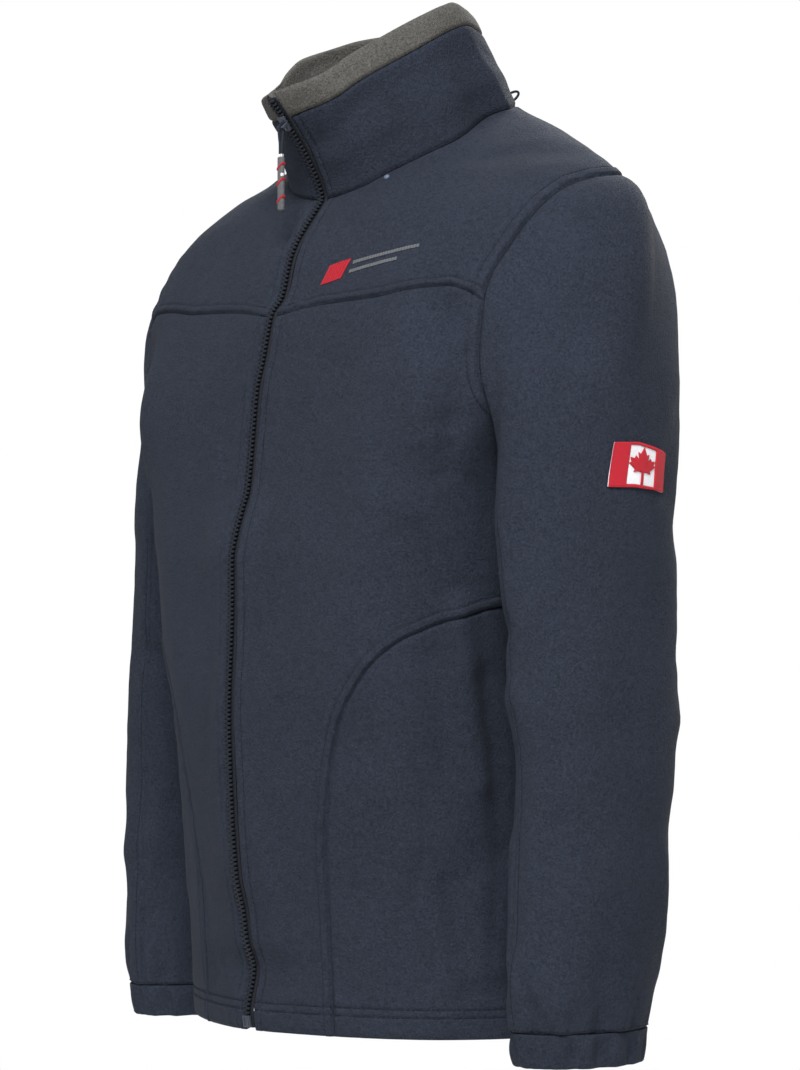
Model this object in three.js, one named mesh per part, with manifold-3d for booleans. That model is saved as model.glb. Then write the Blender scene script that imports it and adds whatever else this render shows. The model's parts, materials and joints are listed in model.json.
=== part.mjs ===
// Fleece zip jacket in its worn shape, hollow, with nobody inside it.
// Millimetres, +Z up. The front faces -Y and the wearer's left is +X.
// The origin is the middle of the neck, level with the shoulders beside it, where the wearer carries it.
import * as THREE from "three";
import { mergeVertices } from "three/addons/utils/BufferGeometryUtils.js";
import Module from "manifold-3d";

// Driving sizes
const FLEECE = 2.2; // one layer of fleece
const SEAM_GAP = 0.3; // between two pieces that are sewn together
const HEM_Z = -705; // lower edge of the body
const HEM_TURN_UP = 22; // height of the turned-up hem
const HEM_LAYERS = 4.6; // thickness of the hem with its turned-up layer
const SIDE_TURN = 92; // side seam, in degrees round the body from the centre front
const SHOULDER_TURN = 100; // shoulder seam, in the same degrees
const ZIP_HALF_GAP = 5.5; // from the centre front to each front's edge
const TAPE_HALF_WIDTH = 5.1; // from the centre front to the far edge of each zip tape
const TAPE_DEPTH = 1; // from the centre-front line in to the tape
const TAPE_THICKNESS = 1;
const CUFF_BAND = 25; // height of the elastic casing at the wrist
const CUFF_GATHERS = 15; // gathers round each cuff
const CUFF_GATHER_DEPTH = 1.5;
const CUFF_Z = -717; // lower edge of the cuffs
const COLLAR_BAND = 0.23; // share of the collar's height that the grey facing covers outside
const MM_PER_TURN_DEGREE = 3.1; // roughly, on the body
const MM_PER_SLEEVE_DEGREE = 1.05; // roughly, round a sleeve

// How many grid cells each seam is divided into. Two pieces that share a seam share its points.
const CELLS = {
  front: 7,
  zipAboveYoke: 3,
  neckFront: 7,
  neckBack: 6, // to the centre back
  shoulder: 7,
  pocketUpright: 5,
  pocketArc: 12,
  upperSide: 3,
  lowerArmhole: 5,
  backArmhole: 10,
  sleeveHead: 7,
  sleeve: 12,
  cuffRows: 3,
  cuffRound: 60,
  collar: 4,
  tapeOnCollar: 6,
};

// Level sections of the body: half width, how far the front and back reach, the middle they are measured round,
// and how square the section's front and back corners are (2 is an ellipse).
const BODY = [
  { z: -705, half: 176, front: -160, back: 112, mid: -35, squareFront: 2, squareBack: 2.1 },
  { z: -600, half: 174, front: -168, back: 104, mid: -40, squareFront: 2, squareBack: 2.1 },
  { z: -500, half: 172, front: -177, back: 98, mid: -45, squareFront: 2.1, squareBack: 2.1 },
  { z: -420, half: 176, front: -178, back: 98, mid: -50, squareFront: 2.5, squareBack: 2.1 },
  { z: -357, half: 181, front: -174, back: 104, mid: -50, squareFront: 2.8, squareBack: 2.1 },
  { z: -300, half: 186, front: -166, back: 112, mid: -46, squareFront: 3.5, squareBack: 2.1 },
  { z: -240, half: 208, front: -161, back: 118, mid: -28, squareFront: 3.9, squareBack: 2.3 },
  { z: -190, half: 224, front: -150, back: 120, mid: -14, squareFront: 3.6, squareBack: 2.4 },
  { z: -150, half: 230, front: -136, back: 118, mid: -6, squareFront: 3.7, squareBack: 2.3 },
  { z: -110, half: 230, front: -118, back: 111, mid: 4, squareFront: 3.2, squareBack: 2.2 },
  { z: -90, half: 227, front: -108, back: 106, mid: 8, squareFront: 2.7, squareBack: 2 },
  { z: -75, half: 222, front: -99, back: 98, mid: 8, squareFront: 2.2, squareBack: 1.8 },
  { z: -62, half: 211, front: -91, back: 92, mid: 8, squareFront: 1.85, squareBack: 1.7 },
  { z: -47, half: 186, front: -81, back: 90, mid: 10, squareFront: 1.5, squareBack: 1.7 },
  { z: -35, half: 162, front: -62, back: 86, mid: 12, squareFront: 1.6, squareBack: 1.8 },
  { z: -20, half: 128, front: -33, back: 80, mid: 15, squareFront: 1.7, squareBack: 2 },
  { z: -8, half: 98, front: -4, back: 74, mid: 18, squareFront: 1.8, squareBack: 2 },
  { z: 0, half: 81, front: 8, back: 70, mid: 20, squareFront: 1.9, squareBack: 2 },
  { z: 8, half: 70, front: 12, back: 66, mid: 20, squareFront: 2, squareBack: 2 },
];

// The centre-front line: the stiff zip buckles in and out as it comes down.
const FRONT_LINE = [
  { z: -705, y: -166 },
  { z: -692, y: -168 },
  { z: -658, y: -162 },
  { z: -637, y: -169 },
  { z: -616, y: -172 },
  { z: -588, y: -179 },
  { z: -524, y: -184 },
  { z: -466, y: -186 },
  { z: -384, y: -183 },
  { z: -351, y: -183 },
  { z: -331, y: -179 },
  { z: -313, y: -173 },
  { z: -299, y: -168 },
  { z: -246, y: -162 },
  { z: -220, y: -159 },
  { z: -202, y: -154 },
  { z: -184, y: -150 },
  { z: -164, y: -145 },
  { z: -153, y: -136 },
  { z: -119, y: -126 },
  { z: -75, y: -96 },
  { z: -40, y: -70 },
];
const FRONT_RIDGE_WIDTH = 46; // how far from the zip its buckles spread

// The main folds of the body, each a soft ridge (or a trough, where the height is negative) between two places.
// A negative turn is on the wearer's right.
const BODY_FOLDS = [
  { turn: 57, z: -172, toTurn: 63, toZ: -250, width: 13, height: -4.5 },
  { turn: 50, z: -180, toTurn: 58, toZ: -262, width: 16, height: 3 },
  { turn: 73, z: -392, toTurn: 79, toZ: -515, width: 11, height: 4.5 },
  { turn: 80, z: -440, toTurn: 84, toZ: -565, width: 12, height: -4 },
  { turn: 66, z: -425, toTurn: 70, toZ: -505, width: 12, height: -2.5 },
  { turn: 77, z: -595, toTurn: 76, toZ: -652, width: 12, height: 3.5 },
  { turn: 69, z: -590, toTurn: 73, toZ: -668, width: 10, height: -3 },
  { turn: 52, z: -320, toTurn: 37, toZ: -455, width: 22, height: 2.5 },
  { turn: -58, z: -182, toTurn: -64, toZ: -258, width: 13, height: -4 },
  { turn: -51, z: -205, toTurn: -57, toZ: -280, width: 15, height: 2.5 },
  { turn: -75, z: -405, toTurn: -81, toZ: -528, width: 12, height: 4 },
  { turn: -84, z: -430, toTurn: -82, toZ: -572, width: 12, height: -3.5 },
  { turn: -67, z: -455, toTurn: -72, toZ: -540, width: 13, height: -2.5 },
  { turn: -78, z: -615, toTurn: -75, toZ: -670, width: 11, height: 3 },
  { turn: -42, z: -350, toTurn: -33, toZ: -500, width: 24, height: 2 },
  { turn: 148, z: -205, toTurn: 144, toZ: -400, width: 22, height: 3 },
  { turn: -152, z: -235, toTurn: -147, toZ: -450, width: 24, height: 3 },
  { turn: 172, z: -430, toTurn: 178, toZ: -640, width: 26, height: -3 },
  { turn: 116, z: -420, toTurn: 160, toZ: -452, width: 14, height: 3.5 },
  { turn: -114, z: -396, toTurn: -156, toZ: -430, width: 15, height: 3 },
  { turn: 124, z: -470, toTurn: 150, toZ: -492, width: 12, height: -3 },
  { turn: -122, z: -540, toTurn: -132, toZ: -668, width: 18, height: -3 },
  { turn: 112, z: -560, toTurn: 128, toZ: -680, width: 18, height: 3 },
];

// The neck seam, the same on both halves.
const NECKLINE = [
  { turn: 0, z: -75 },
  { turn: 9, z: -73 },
  { turn: 23, z: -67 },
  { turn: 36, z: -55 },
  { turn: 48, z: -44 },
  { turn: 60, z: -33 },
  { turn: 75, z: -15 },
  { turn: 91, z: -3 },
  { turn: 105, z: 2 },
  { turn: 135, z: 5 },
  { turn: 180, z: 6 },
];

// The armhole seam, from the shoulder down the front to the armpit and up the back.
const ARMHOLE = [
  { turn: 100, z: -67 },
  { turn: 92.5, z: -65.8 },
  { turn: 88, z: -67 },
  { turn: 84, z: -70 },
  { turn: 78.5, z: -77 },
  { turn: 73, z: -90 },
  { turn: 69.5, z: -106 },
  { turn: 66.5, z: -128 },
  { turn: 64.5, z: -146 },
  { turn: 63.8, z: -165 },
  { turn: 64.5, z: -198 },
  { turn: 66.5, z: -221 },
  { turn: 71, z: -239 },
  { turn: 80, z: -251 },
  { turn: 92, z: -255 },
  { turn: 103, z: -247 },
  { turn: 111, z: -225 },
  { turn: 114, z: -192 },
  { turn: 114, z: -155 },
  { turn: 112, z: -120 },
  { turn: 107, z: -88 },
  { turn: 100, z: -67 },
];
const ARMHOLE_YOKE_ROW = 9; // the row where the yoke seam meets the armhole
const ARMHOLE_ARMPIT_ROW = 14; // the row where the side seam meets it

// The yoke seam, from the zip to the armhole, and the curved pocket-panel seam, from the hem to the side seam.
const YOKE_SEAM = [
  { turn: 2, z: -166 },
  { turn: 20, z: -160 },
  { turn: 40, z: -158 },
  { turn: 52, z: -153 },
  { turn: 57, z: -152.5 },
  { turn: 60.5, z: -157 },
  { turn: 63.8, z: -165 },
];
const POCKET_SEAM = [
  { z: -705, turn: 35 },
  { z: -573, turn: 35 },
  { z: -531, turn: 36.5 },
  { z: -506, turn: 38 },
  { z: -482, turn: 40.5 },
  { z: -465, turn: 43 },
  { z: -448, turn: 46.5 },
  { z: -432, turn: 50.5 },
  { z: -419, turn: 55 },
  { z: -410, turn: 59.5 },
  { z: -403, turn: 64.5 },
  { z: -397, turn: 69.5 },
  { z: -391, turn: 77 },
  { z: -387, turn: 83 },
  { z: -385, turn: 92 },
];
const POCKET_ARC_FOOT_Z = -573; // where the seam starts to curve towards the side

// Level sections of the left sleeve below the shoulder: its middle, and how far it reaches outwards, inwards
// (towards the body), forwards and backwards.
const SLEEVE = [
  { z: -717, x: 245, y: -53, out: 36, in: 36, fore: 54, aft: 54 },
  { z: -690, x: 246, y: -53.5, out: 38, in: 38, fore: 58, aft: 58 },
  { z: -669, x: 247, y: -53.5, out: 42, in: 42, fore: 60.3, aft: 60.3 },
  { z: -614, x: 249, y: -49, out: 46, in: 46, fore: 62.5, aft: 62.5 },
  { z: -563, x: 250, y: -45.6, out: 46, in: 46, fore: 65, aft: 65 },
  { z: -527, x: 250, y: -43, out: 46, in: 46, fore: 65.4, aft: 65.4 },
  { z: -454, x: 245, y: -40, out: 46, in: 44, fore: 72, aft: 72 },
  { z: -410, x: 240, y: -38, out: 47, in: 42, fore: 75, aft: 75 },
  { z: -330, x: 231, y: -35.5, out: 50, in: 38, fore: 80, aft: 80 },
];
const RIGHT_SLEEVE_SETBACK = 18; // the right arm hangs this much further back
const SLEEVE_HEAD_FOOT_Z = -330; // where the sleeve head has become a plain tube

// Folds of the sleeves, placed by degrees round the sleeve: 0 is outwards, 90 forwards and 180 towards the body.
const SLEEVE_FOLDS = [
  { side: 1, round: 60, z: -545, toRound: 71, toZ: -648, width: 11, height: -2.5 },
  { side: 1, round: 76, z: -668, toRound: 60, toZ: -690, width: 7, height: -2.5 },
  { side: 1, round: 38, z: -660, toRound: 46, toZ: -690, width: 8, height: 1.6 },
  { side: 1, round: 105, z: -400, toRound: 160, toZ: -428, width: 12, height: -3 },
  { side: 1, round: 100, z: -450, toRound: 150, toZ: -466, width: 11, height: 2.5 },
  { side: 1, round: 250, z: -250, toRound: 300, toZ: -330, width: 15, height: -3 },
  { side: 1, round: 240, z: -430, toRound: 300, toZ: -470, width: 14, height: 2.5 },
  { side: 1, round: 330, z: -560, toRound: 300, toZ: -650, width: 13, height: 2 },
  { side: -1, round: 55, z: -560, toRound: 66, toZ: -640, width: 11, height: -2.5 },
  { side: -1, round: 30, z: -670, toRound: 48, toZ: -690, width: 8, height: -2.5 },
  { side: -1, round: 100, z: -420, toRound: 155, toZ: -440, width: 12, height: -3 },
  { side: -1, round: 255, z: -265, toRound: 300, toZ: -350, width: 15, height: -3 },
  { side: -1, round: 245, z: -450, toRound: 305, toZ: -482, width: 14, height: 2.5 },
  { side: -1, round: 325, z: -590, toRound: 296, toZ: -660, width: 12, height: 2 },
];

// The collar's top edge, by degrees round its own middle: the wearer's right side has sunk lower.
const COLLAR_TOP = [
  { round: 0, left: 3, right: -2 },
  { round: 16, left: 9, right: 1 },
  { round: 27, left: 16, right: 4 },
  { round: 42, left: 31, right: 11 },
  { round: 60, left: 45, right: 21 },
  { round: 72, left: 54, right: 33 },
  { round: 85, left: 63, right: 44 },
  { round: 98, left: 71, right: 51 },
  { round: 110, left: 76, right: 57 },
  { round: 126, left: 73, right: 64 },
  { round: 145, left: 70, right: 68 },
  { round: 180, left: 69, right: 69 },
];
const COLLAR_TOP_HALF = 78; // half width of the collar's top edge
const COLLAR_TOP_MID = -52;
const COLLAR_TOP_FORE = 97; // from its middle to the zip
const COLLAR_TOP_AFT = 87; // from its middle to the back
const COLLAR_TOP_SQUARE = 1.5; // its front comes to a blunt point at the zip
const NECK_MID = -8; // middle of the neck seam, seen from above

const SLIDER_SHARE = 0.75; // how far up the collar the slider stands
const PULL_LOOP_LENGTH = 25;
const PULL_TAB_LENGTH = 38;

const PATCH_WIDTH = 60;
const PATCH_HEIGHT = 32;
const PATCH_ROUND = -5; // the middle of the patch, in degrees round the left sleeve
const PATCH_Z = -284;

const COLOURS = {
  navy: 0x2f3746,
  grey: 0x6f6c68,
  tape: 0x1f2633,
  metal: 0x2b3442,
  cord: 0x55565a,
  flag: 0xa81f31,
  bead: 0x8f9bb0,
};

const wasm = await Module();
wasm.setup();
const DEGREE = Math.PI / 180;
const group = new THREE.Group();

// Adds a named piece in its own material.
function addPiece(name, geometry, colour, roughness = 0.95) {
  const material = new THREE.MeshStandardMaterial({ color: colour, roughness, metalness: 0 });
  const mesh = new THREE.Mesh(geometry, material);
  mesh.name = name;
  group.add(mesh);
  return mesh;
}

// A smooth curve through one column of a table. It passes through every row and never overshoots.
function curveThrough(rows, key, column) {
  const at = rows.map((row) => row[key]);
  const value = rows.map((row) => row[column]);
  const last = rows.length - 1;
  const slope = [];
  for (let i = 0; i < last; i++) slope.push((value[i + 1] - value[i]) / (at[i + 1] - at[i]));
  const tangent = value.map((_, i) => {
    if (i === 0) return slope[0];
    if (i === last) return slope[last - 1];
    const product = slope[i - 1] * slope[i];
    return product <= 0 ? 0 : (2 * product) / (slope[i - 1] + slope[i]);
  });
  return (x) => {
    const inside = Math.min(Math.max(x, at[0]), at[last]);
    let i = 0;
    while (i < last - 1 && inside > at[i + 1]) i++;
    const width = at[i + 1] - at[i];
    const s = (inside - at[i]) / width;
    const far = s * s * (3 - 2 * s);
    return (
      value[i] * (1 - far) +
      value[i + 1] * far +
      width * (tangent[i] * s * (s - 1) * (s - 1) + tangent[i + 1] * s * s * (s - 1))
    );
  };
}

function curvesOf(rows, key) {
  const columns = Object.keys(rows[0]).filter((column) => column !== key);
  return Object.fromEntries(columns.map((column) => [column, curveThrough(rows, key, column)]));
}

const body = curvesOf(BODY, "z");
const frontLineY = curveThrough(FRONT_LINE, "z", "y");
const neckZ = curveThrough(NECKLINE, "turn", "z");
const yokeZ = curveThrough(YOKE_SEAM, "turn", "z");
const pocketTurn = curveThrough(POCKET_SEAM, "z", "turn");
const sleeveAt = curvesOf(SLEEVE, "z");
const collarTop = curvesOf(COLLAR_TOP, "round");

// How high a set of folds stands at a place, with both directions in millimetres.
function foldHeight(folds, across, z, acrossOf) {
  let height = 0;
  for (const fold of folds) {
    const [fromX, toX] = acrossOf(fold);
    const runX = toX - fromX;
    const runZ = fold.toZ - fold.z;
    const along = ((across - fromX) * runX + (z - fold.z) * runZ) / (runX * runX + runZ * runZ);
    const nearest = Math.min(Math.max(along, 0), 1);
    const distance = Math.hypot(across - fromX - nearest * runX, z - fold.z - nearest * runZ);
    height += fold.height * Math.exp(-((distance / fold.width) ** 2));
  }
  return height;
}

// The body's form without folds, at a turn in degrees from the centre front and a height.
function bodyForm(turn, z) {
  const sideways = Math.sin(turn * DEGREE);
  const ahead = Math.cos(turn * DEGREE);
  const isFront = ahead > 0;
  const mid = body.mid(z);
  const front = body.front(z);
  const reach = isFront ? mid - front : body.back(z) - mid;
  const square = isFront ? body.squareFront(z) : body.squareBack(z);
  const radius =
    (Math.abs(ahead / reach) ** square + Math.abs(sideways / body.half(z)) ** square) ** (-1 / square);
  const point = new THREE.Vector3(radius * sideways, mid - radius * ahead, z);
  if (isFront) point.y += (frontLineY(z) - front) * Math.exp(-((point.x / FRONT_RIDGE_WIDTH) ** 2));
  return point;
}

// The outward direction of a surface given as a function of two values.
function normalOf(surface, u, v, stepU, stepV) {
  const alongU = surface(u + stepU, v).sub(surface(u - stepU, v));
  const alongV = surface(u, v + stepV).sub(surface(u, v - stepV));
  return alongU.cross(alongV).normalize();
}

function bodyPoint(turn, z) {
  const centred = turn > 180 ? turn - 360 : turn;
  const place = (fold) => [fold.turn * MM_PER_TURN_DEGREE, fold.toTurn * MM_PER_TURN_DEGREE];
  const height = foldHeight(BODY_FOLDS, centred * MM_PER_TURN_DEGREE, z, place);
  const point = bodyForm(turn, z);
  return Math.abs(height) < 0.01 ? point : point.addScaledVector(normalOf(bodyForm, turn, z, 0.3, 0.8), height);
}

const bodyNormal = (turn, z) => normalOf(bodyPoint, turn, z, 0.4, 1);

// The turn at which a surface's edge stands beside the zip. The surface is given as points by turn.
function turnBesideZip(pointAt, side) {
  let turn = side * 2;
  for (let i = 0; i < 6; i++) turn *= (side * ZIP_HALF_GAP) / pointAt(turn).x;
  return turn;
}

// Places along a line, the same real distance apart.
function evenly(lineAt, cells) {
  const fine = cells * 20;
  const places = Array.from({ length: fine + 1 }, (_, i) => lineAt(i / fine));
  const lengths = [0];
  for (let i = 1; i <= fine; i++) {
    const before = bodyPoint(places[i - 1].turn, places[i - 1].z);
    lengths.push(lengths[i - 1] + before.distanceTo(bodyPoint(places[i].turn, places[i].z)));
  }
  return Array.from({ length: cells + 1 }, (_, i) => {
    const wanted = (lengths[fine] * i) / cells;
    let k = lengths.findIndex((length) => length >= wanted - 1e-6);
    k = k < 0 ? fine : k;
    return { ...places[k] };
  });
}

const mix = (a, b, share) => a + (b - a) * share;
const reversed = (points) => [...points].reverse();
const joined = (...lines) => lines.flatMap((line, i) => (i === 0 ? line : line.slice(1)));

// The stretch of the armhole between two rows of its table.
function armholeBetween(fromRow, toRow, cells) {
  const line = new THREE.SplineCurve(
    ARMHOLE.map(({ turn, z }) => new THREE.Vector2(turn * MM_PER_TURN_DEGREE, z)),
  );
  const last = ARMHOLE.length - 1;
  return evenly((share) => {
    const point = line.getPoint(mix(fromRow, toRow, share) / last);
    return { turn: point.x / MM_PER_TURN_DEGREE, z: point.y };
  }, cells);
}

// The body's seams, on the left half. The right half repeats them. They start at the top of the turned-up hem.
const HEM_TOP = HEM_Z + HEM_TURN_UP;
const climb = (turnAt, topZ, cells) =>
  evenly((share) => {
    const z = mix(HEM_TOP, topZ, share);
    return { turn: turnAt(z), z };
  }, cells);
const zipTurn = (z) => turnBesideZip((turn) => bodyPoint(turn, z), 1);
const yokeStart = { turn: zipTurn(yokeZ(2)), z: yokeZ(2) };
const seams = {};
seams.pocketUpright = climb(pocketTurn, POCKET_ARC_FOOT_Z, CELLS.pocketUpright);
seams.pocketArc = evenly((share) => {
  // The seam runs level at its end, so its places come closer together in height.
  const z = mix(POCKET_ARC_FOOT_Z, POCKET_SEAM.at(-1).z, 1 - (1 - share) ** 2);
  return { turn: pocketTurn(z), z };
}, CELLS.pocketArc);
seams.lowerSide = climb(() => SIDE_TURN, POCKET_SEAM.at(-1).z, CELLS.pocketUpright);
seams.frontArmhole = armholeBetween(0, ARMHOLE_YOKE_ROW, CELLS.zipAboveYoke + CELLS.neckFront);
seams.lowerArmhole = armholeBetween(ARMHOLE_YOKE_ROW, ARMHOLE_ARMPIT_ROW, CELLS.lowerArmhole);
seams.backArmhole = armholeBetween(ARMHOLE_ARMPIT_ROW, ARMHOLE.length - 1, CELLS.backArmhole);
seams.upperSide = evenly(
  (share) => ({ turn: SIDE_TURN, z: mix(POCKET_SEAM.at(-1).z, seams.backArmhole[0].z, share) }),
  CELLS.upperSide,
);
seams.yoke = evenly((share) => {
  const end = seams.lowerArmhole[0];
  const turn = mix(yokeStart.turn, end.turn, share);
  return { turn, z: share === 1 ? end.z : yokeZ(turn) };
}, CELLS.front);
seams.shoulder = evenly(
  (share) => ({ turn: SHOULDER_TURN, z: mix(neckZ(SHOULDER_TURN), seams.frontArmhole[0].z, share) }),
  CELLS.shoulder,
);
const neckStartZ = neckZ(3);
seams.neckFront = evenly((share) => {
  const turn = mix(zipTurn(neckStartZ), SHOULDER_TURN, share);
  return { turn, z: neckZ(turn) };
}, CELLS.neckFront);
seams.neckBack = evenly((share) => {
  const turn = mix(SHOULDER_TURN, 180, share);
  return { turn, z: neckZ(turn) };
}, CELLS.neckBack);
seams.zipAboveYoke = evenly((share) => {
  const z = mix(yokeStart.z, seams.neckFront[0].z, share);
  return { turn: zipTurn(z), z };
}, CELLS.zipAboveYoke);

// A grid of places over a four-sided piece, worked out from its edges. Bottom and top run the same way round
// the body, left and right both run upwards.
function patchPlaces(bottom, top, left, right) {
  const columns = bottom.length - 1;
  const rows = left.length - 1;
  return left.map((leftPlace, j) =>
    bottom.map((bottomPlace, i) => {
      if (j === 0) return bottomPlace;
      if (j === rows) return top[i];
      if (i === 0) return leftPlace;
      if (i === columns) return right[j];
      const u = i / columns;
      const v = j / rows;
      const place = {};
      for (const key of ["turn", "z"]) {
        const corners = mix(
          mix(bottom[0][key], bottom[columns][key], u),
          mix(top[0][key], top[columns][key], u),
          v,
        );
        place[key] =
          mix(bottomPlace[key], top[i][key], v) + mix(leftPlace[key], right[j][key], u) - corners;
      }
      return place;
    }),
  );
}

// A closed solid from a list of triangles, with its faces turned outwards.
function solid(points, triangles) {
  const positions = new Float32Array(triangles.length * 9);
  let volume = 0;
  for (const [a, b, c] of triangles) {
    volume += points[a].dot(new THREE.Vector3().crossVectors(points[b], points[c]));
  }
  triangles.forEach((corners, k) => {
    const order = volume < 0 ? [corners[0], corners[2], corners[1]] : corners;
    order.forEach((corner, n) => points[corner].toArray(positions, k * 9 + n * 3));
  });
  const geometry = new THREE.BufferGeometry();
  geometry.setAttribute("position", new THREE.BufferAttribute(positions, 3));
  geometry.computeVertexNormals();
  return geometry;
}

// A cloth wall between an outer grid and an inner one. A ring's last column joins its first.
function wall(outer, inner, isRing = false) {
  const rows = outer.length;
  const columns = outer[0].length;
  const points = [...outer.flat(), ...inner.flat()];
  const innerStart = rows * columns;
  const triangles = [];
  const quad = (a, b, c, d) => triangles.push([a, b, c], [a, c, d]);
  const across = isRing ? columns : columns - 1;
  for (let i = 0; i < across; i++) {
    const next = (i + 1) % columns;
    for (let j = 0; j < rows - 1; j++) {
      const low = j * columns;
      const high = low + columns;
      quad(low + i, low + next, high + next, high + i);
      quad(innerStart + low + i, innerStart + high + i, innerStart + high + next, innerStart + low + next);
    }
    const top = (rows - 1) * columns;
    quad(i, innerStart + i, innerStart + next, next);
    quad(top + next, innerStart + top + next, innerStart + top + i, top + i);
  }
  if (!isRing) {
    for (let j = 0; j < rows - 1; j++) {
      const low = j * columns;
      const high = low + columns;
      const end = columns - 1;
      quad(low, high, innerStart + high, innerStart + low);
      quad(high + end, low + end, innerStart + low + end, innerStart + high + end);
    }
  }
  return solid(points, triangles);
}

// Draws a grid's edge back from its seam, square to the edge, by half of the gap between two pieces.
function drawBack(grid, spread, isRing) {
  const rows = grid.length;
  const columns = grid[0].length;
  const shifts = grid.map((row) => row.map(() => new THREE.Vector3()));
  const shift = (j, i, inJ, inI, beforeJ, beforeI, afterJ, afterI) => {
    const along = grid[afterJ][afterI].clone().sub(grid[beforeJ][beforeI]).normalize();
    const into = grid[inJ][inI].clone().sub(grid[j][i]);
    into.addScaledVector(along, -into.dot(along)).normalize();
    shifts[j][i].addScaledVector(into, (SEAM_GAP / 2) * spread[j][i]);
  };
  for (let i = 0; i < columns; i++) {
    const before = isRing ? (i + columns - 1) % columns : Math.max(i - 1, 0);
    const after = isRing ? (i + 1) % columns : Math.min(i + 1, columns - 1);
    shift(0, i, 1, i, 0, before, 0, after);
    shift(rows - 1, i, rows - 2, i, rows - 1, before, rows - 1, after);
  }
  for (let j = 0; j < rows && !isRing; j++) {
    const before = Math.max(j - 1, 0);
    const after = Math.min(j + 1, rows - 1);
    shift(j, 0, j, 1, before, 0, after, 0);
    shift(j, columns - 1, j, columns - 2, before, columns - 1, after, columns - 1);
  }
  return shifts;
}

// The outer and inner grids of a cloth wall, from its outer points and the way into its thickness at each of
// them, drawn back from its seams.
function clothLayers(outer, seam, isRing) {
  const shifts = drawBack(outer, seam.map((row) => row.map((entry) => entry.spread)), isRing);
  const drawn = outer.map((row, j) => row.map((point, i) => point.clone().add(shifts[j][i])));
  const inner = drawn.map((row, j) => row.map((point, i) => point.clone().add(seam[j][i].inward)));
  return { drawn, inner };
}
function clothWall(outer, seam, isRing) {
  const layers = clothLayers(outer, seam, isRing);
  return wall(layers.drawn, layers.inner, isRing);
}

// The way into the cloth's thickness at a seam where two surfaces meet at an angle: halfway between them.
function seamThickness(normalA, normalB) {
  const between = normalA.clone().add(normalB);
  const bend = Math.max(between.length() / 2, 0.45);
  return { inward: between.normalize().multiplyScalar(-FLEECE / bend), spread: 1 / bend };
}

// The sleeve's start direction at the armhole: outwards over the shoulder, steeply down at the armpit.
const armholeTopZ = Math.max(...ARMHOLE.map((row) => row.z));
const armholeLowZ = Math.min(...ARMHOLE.map((row) => row.z));
function sleeveStart(side, z) {
  const share = (z - armholeLowZ) / (armholeTopZ - armholeLowZ);
  return new THREE.Vector3(side * mix(0.42, 0.95, share), 0, mix(-0.91, -0.3, share ** 1.5)).normalize();
}

// The armhole, with the cloth's thickness direction at each of its places.
const ring = joined(seams.frontArmhole, seams.lowerArmhole, seams.backArmhole);
const ringCells = ring.length - 1;
function armholeThickness(side, place, tangent) {
  const fromBody = bodyNormal(side * place.turn, place.z);
  const fromSleeve = new THREE.Vector3().crossVectors(tangent, sleeveStart(side, place.z)).normalize();
  return seamThickness(fromBody, fromSleeve);
}

const keyOf = ({ turn, z }) => `${turn.toFixed(3)},${z.toFixed(3)}`;
const thicknessAt = { "-1": new Map(), 1: new Map() };
for (const side of [-1, 1]) {
  ring.forEach((place, k) => {
    const before = ring[(k + ringCells - 1) % ringCells];
    const after = ring[(k + 1) % ringCells];
    const tangent = bodyPoint(side * after.turn, after.z).sub(bodyPoint(side * before.turn, before.z));
    // Seen from outside, the ring runs forwards and down on the left and the other way on the right.
    const facing = armholeThickness(side, place, tangent.multiplyScalar(side));
    thicknessAt[side].set(keyOf(place), facing);
  });
}

// The collar: a ring of the neck seam below and its own top edge above.
function collarPoint(turn, height) {
  const centred = turn > 180 ? turn - 360 : turn;
  const foot = bodyPoint(turn, neckZ(Math.abs(centred)));
  const round = Math.atan2(foot.x, NECK_MID - foot.y);
  const sideways = Math.sin(round);
  const ahead = Math.cos(round);
  const isFront = ahead > 0;
  const reach = isFront ? COLLAR_TOP_FORE : COLLAR_TOP_AFT;
  const square = isFront ? COLLAR_TOP_SQUARE : 2;
  const radius =
    (Math.abs(ahead / reach) ** square + Math.abs(sideways / COLLAR_TOP_HALF) ** square) ** (-1 / square);
  const degrees = Math.abs(round) / DEGREE;
  const blend = 0.5 + 0.5 * Math.max(-1, Math.min(1, foot.x / 20));
  const topZ = mix(collarTop.right(degrees), collarTop.left(degrees), blend);
  const top = new THREE.Vector3(radius * sideways, COLLAR_TOP_MID - radius * ahead, topZ);
  // The front stands up straight from its seam and then leans out.
  const lean = height ** (1 + 0.45 * Math.max(0, ahead));
  return new THREE.Vector3(mix(foot.x, top.x, height), mix(foot.y, top.y, lean), mix(foot.z, top.z, height));
}
const collarNormal = (turn, height) => normalOf(collarPoint, turn, height, 0.5, 0.02);

for (const side of [-1, 1]) {
  for (const place of [...seams.neckFront, ...seams.neckBack]) {
    const turn = side * place.turn;
    const facing = seamThickness(bodyNormal(turn, place.z), collarNormal(turn, 0.06));
    thicknessAt[side].set(keyOf(place), facing);
  }
}

// The turned-up hem of a piece: two rows below its grid, thicker than the rest.
const HEM_STEP = 1.6; // height over which the hem's second layer ends
function withHem(places, isZipEdge) {
  const below = [HEM_Z, HEM_TOP - HEM_STEP].map((z) =>
    places[0].map(({ turn }, i) => ({ turn: isZipEdge && i === 0 ? zipTurn(z) : turn, z, isHem: true })),
  );
  return [...below, ...places];
}

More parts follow.
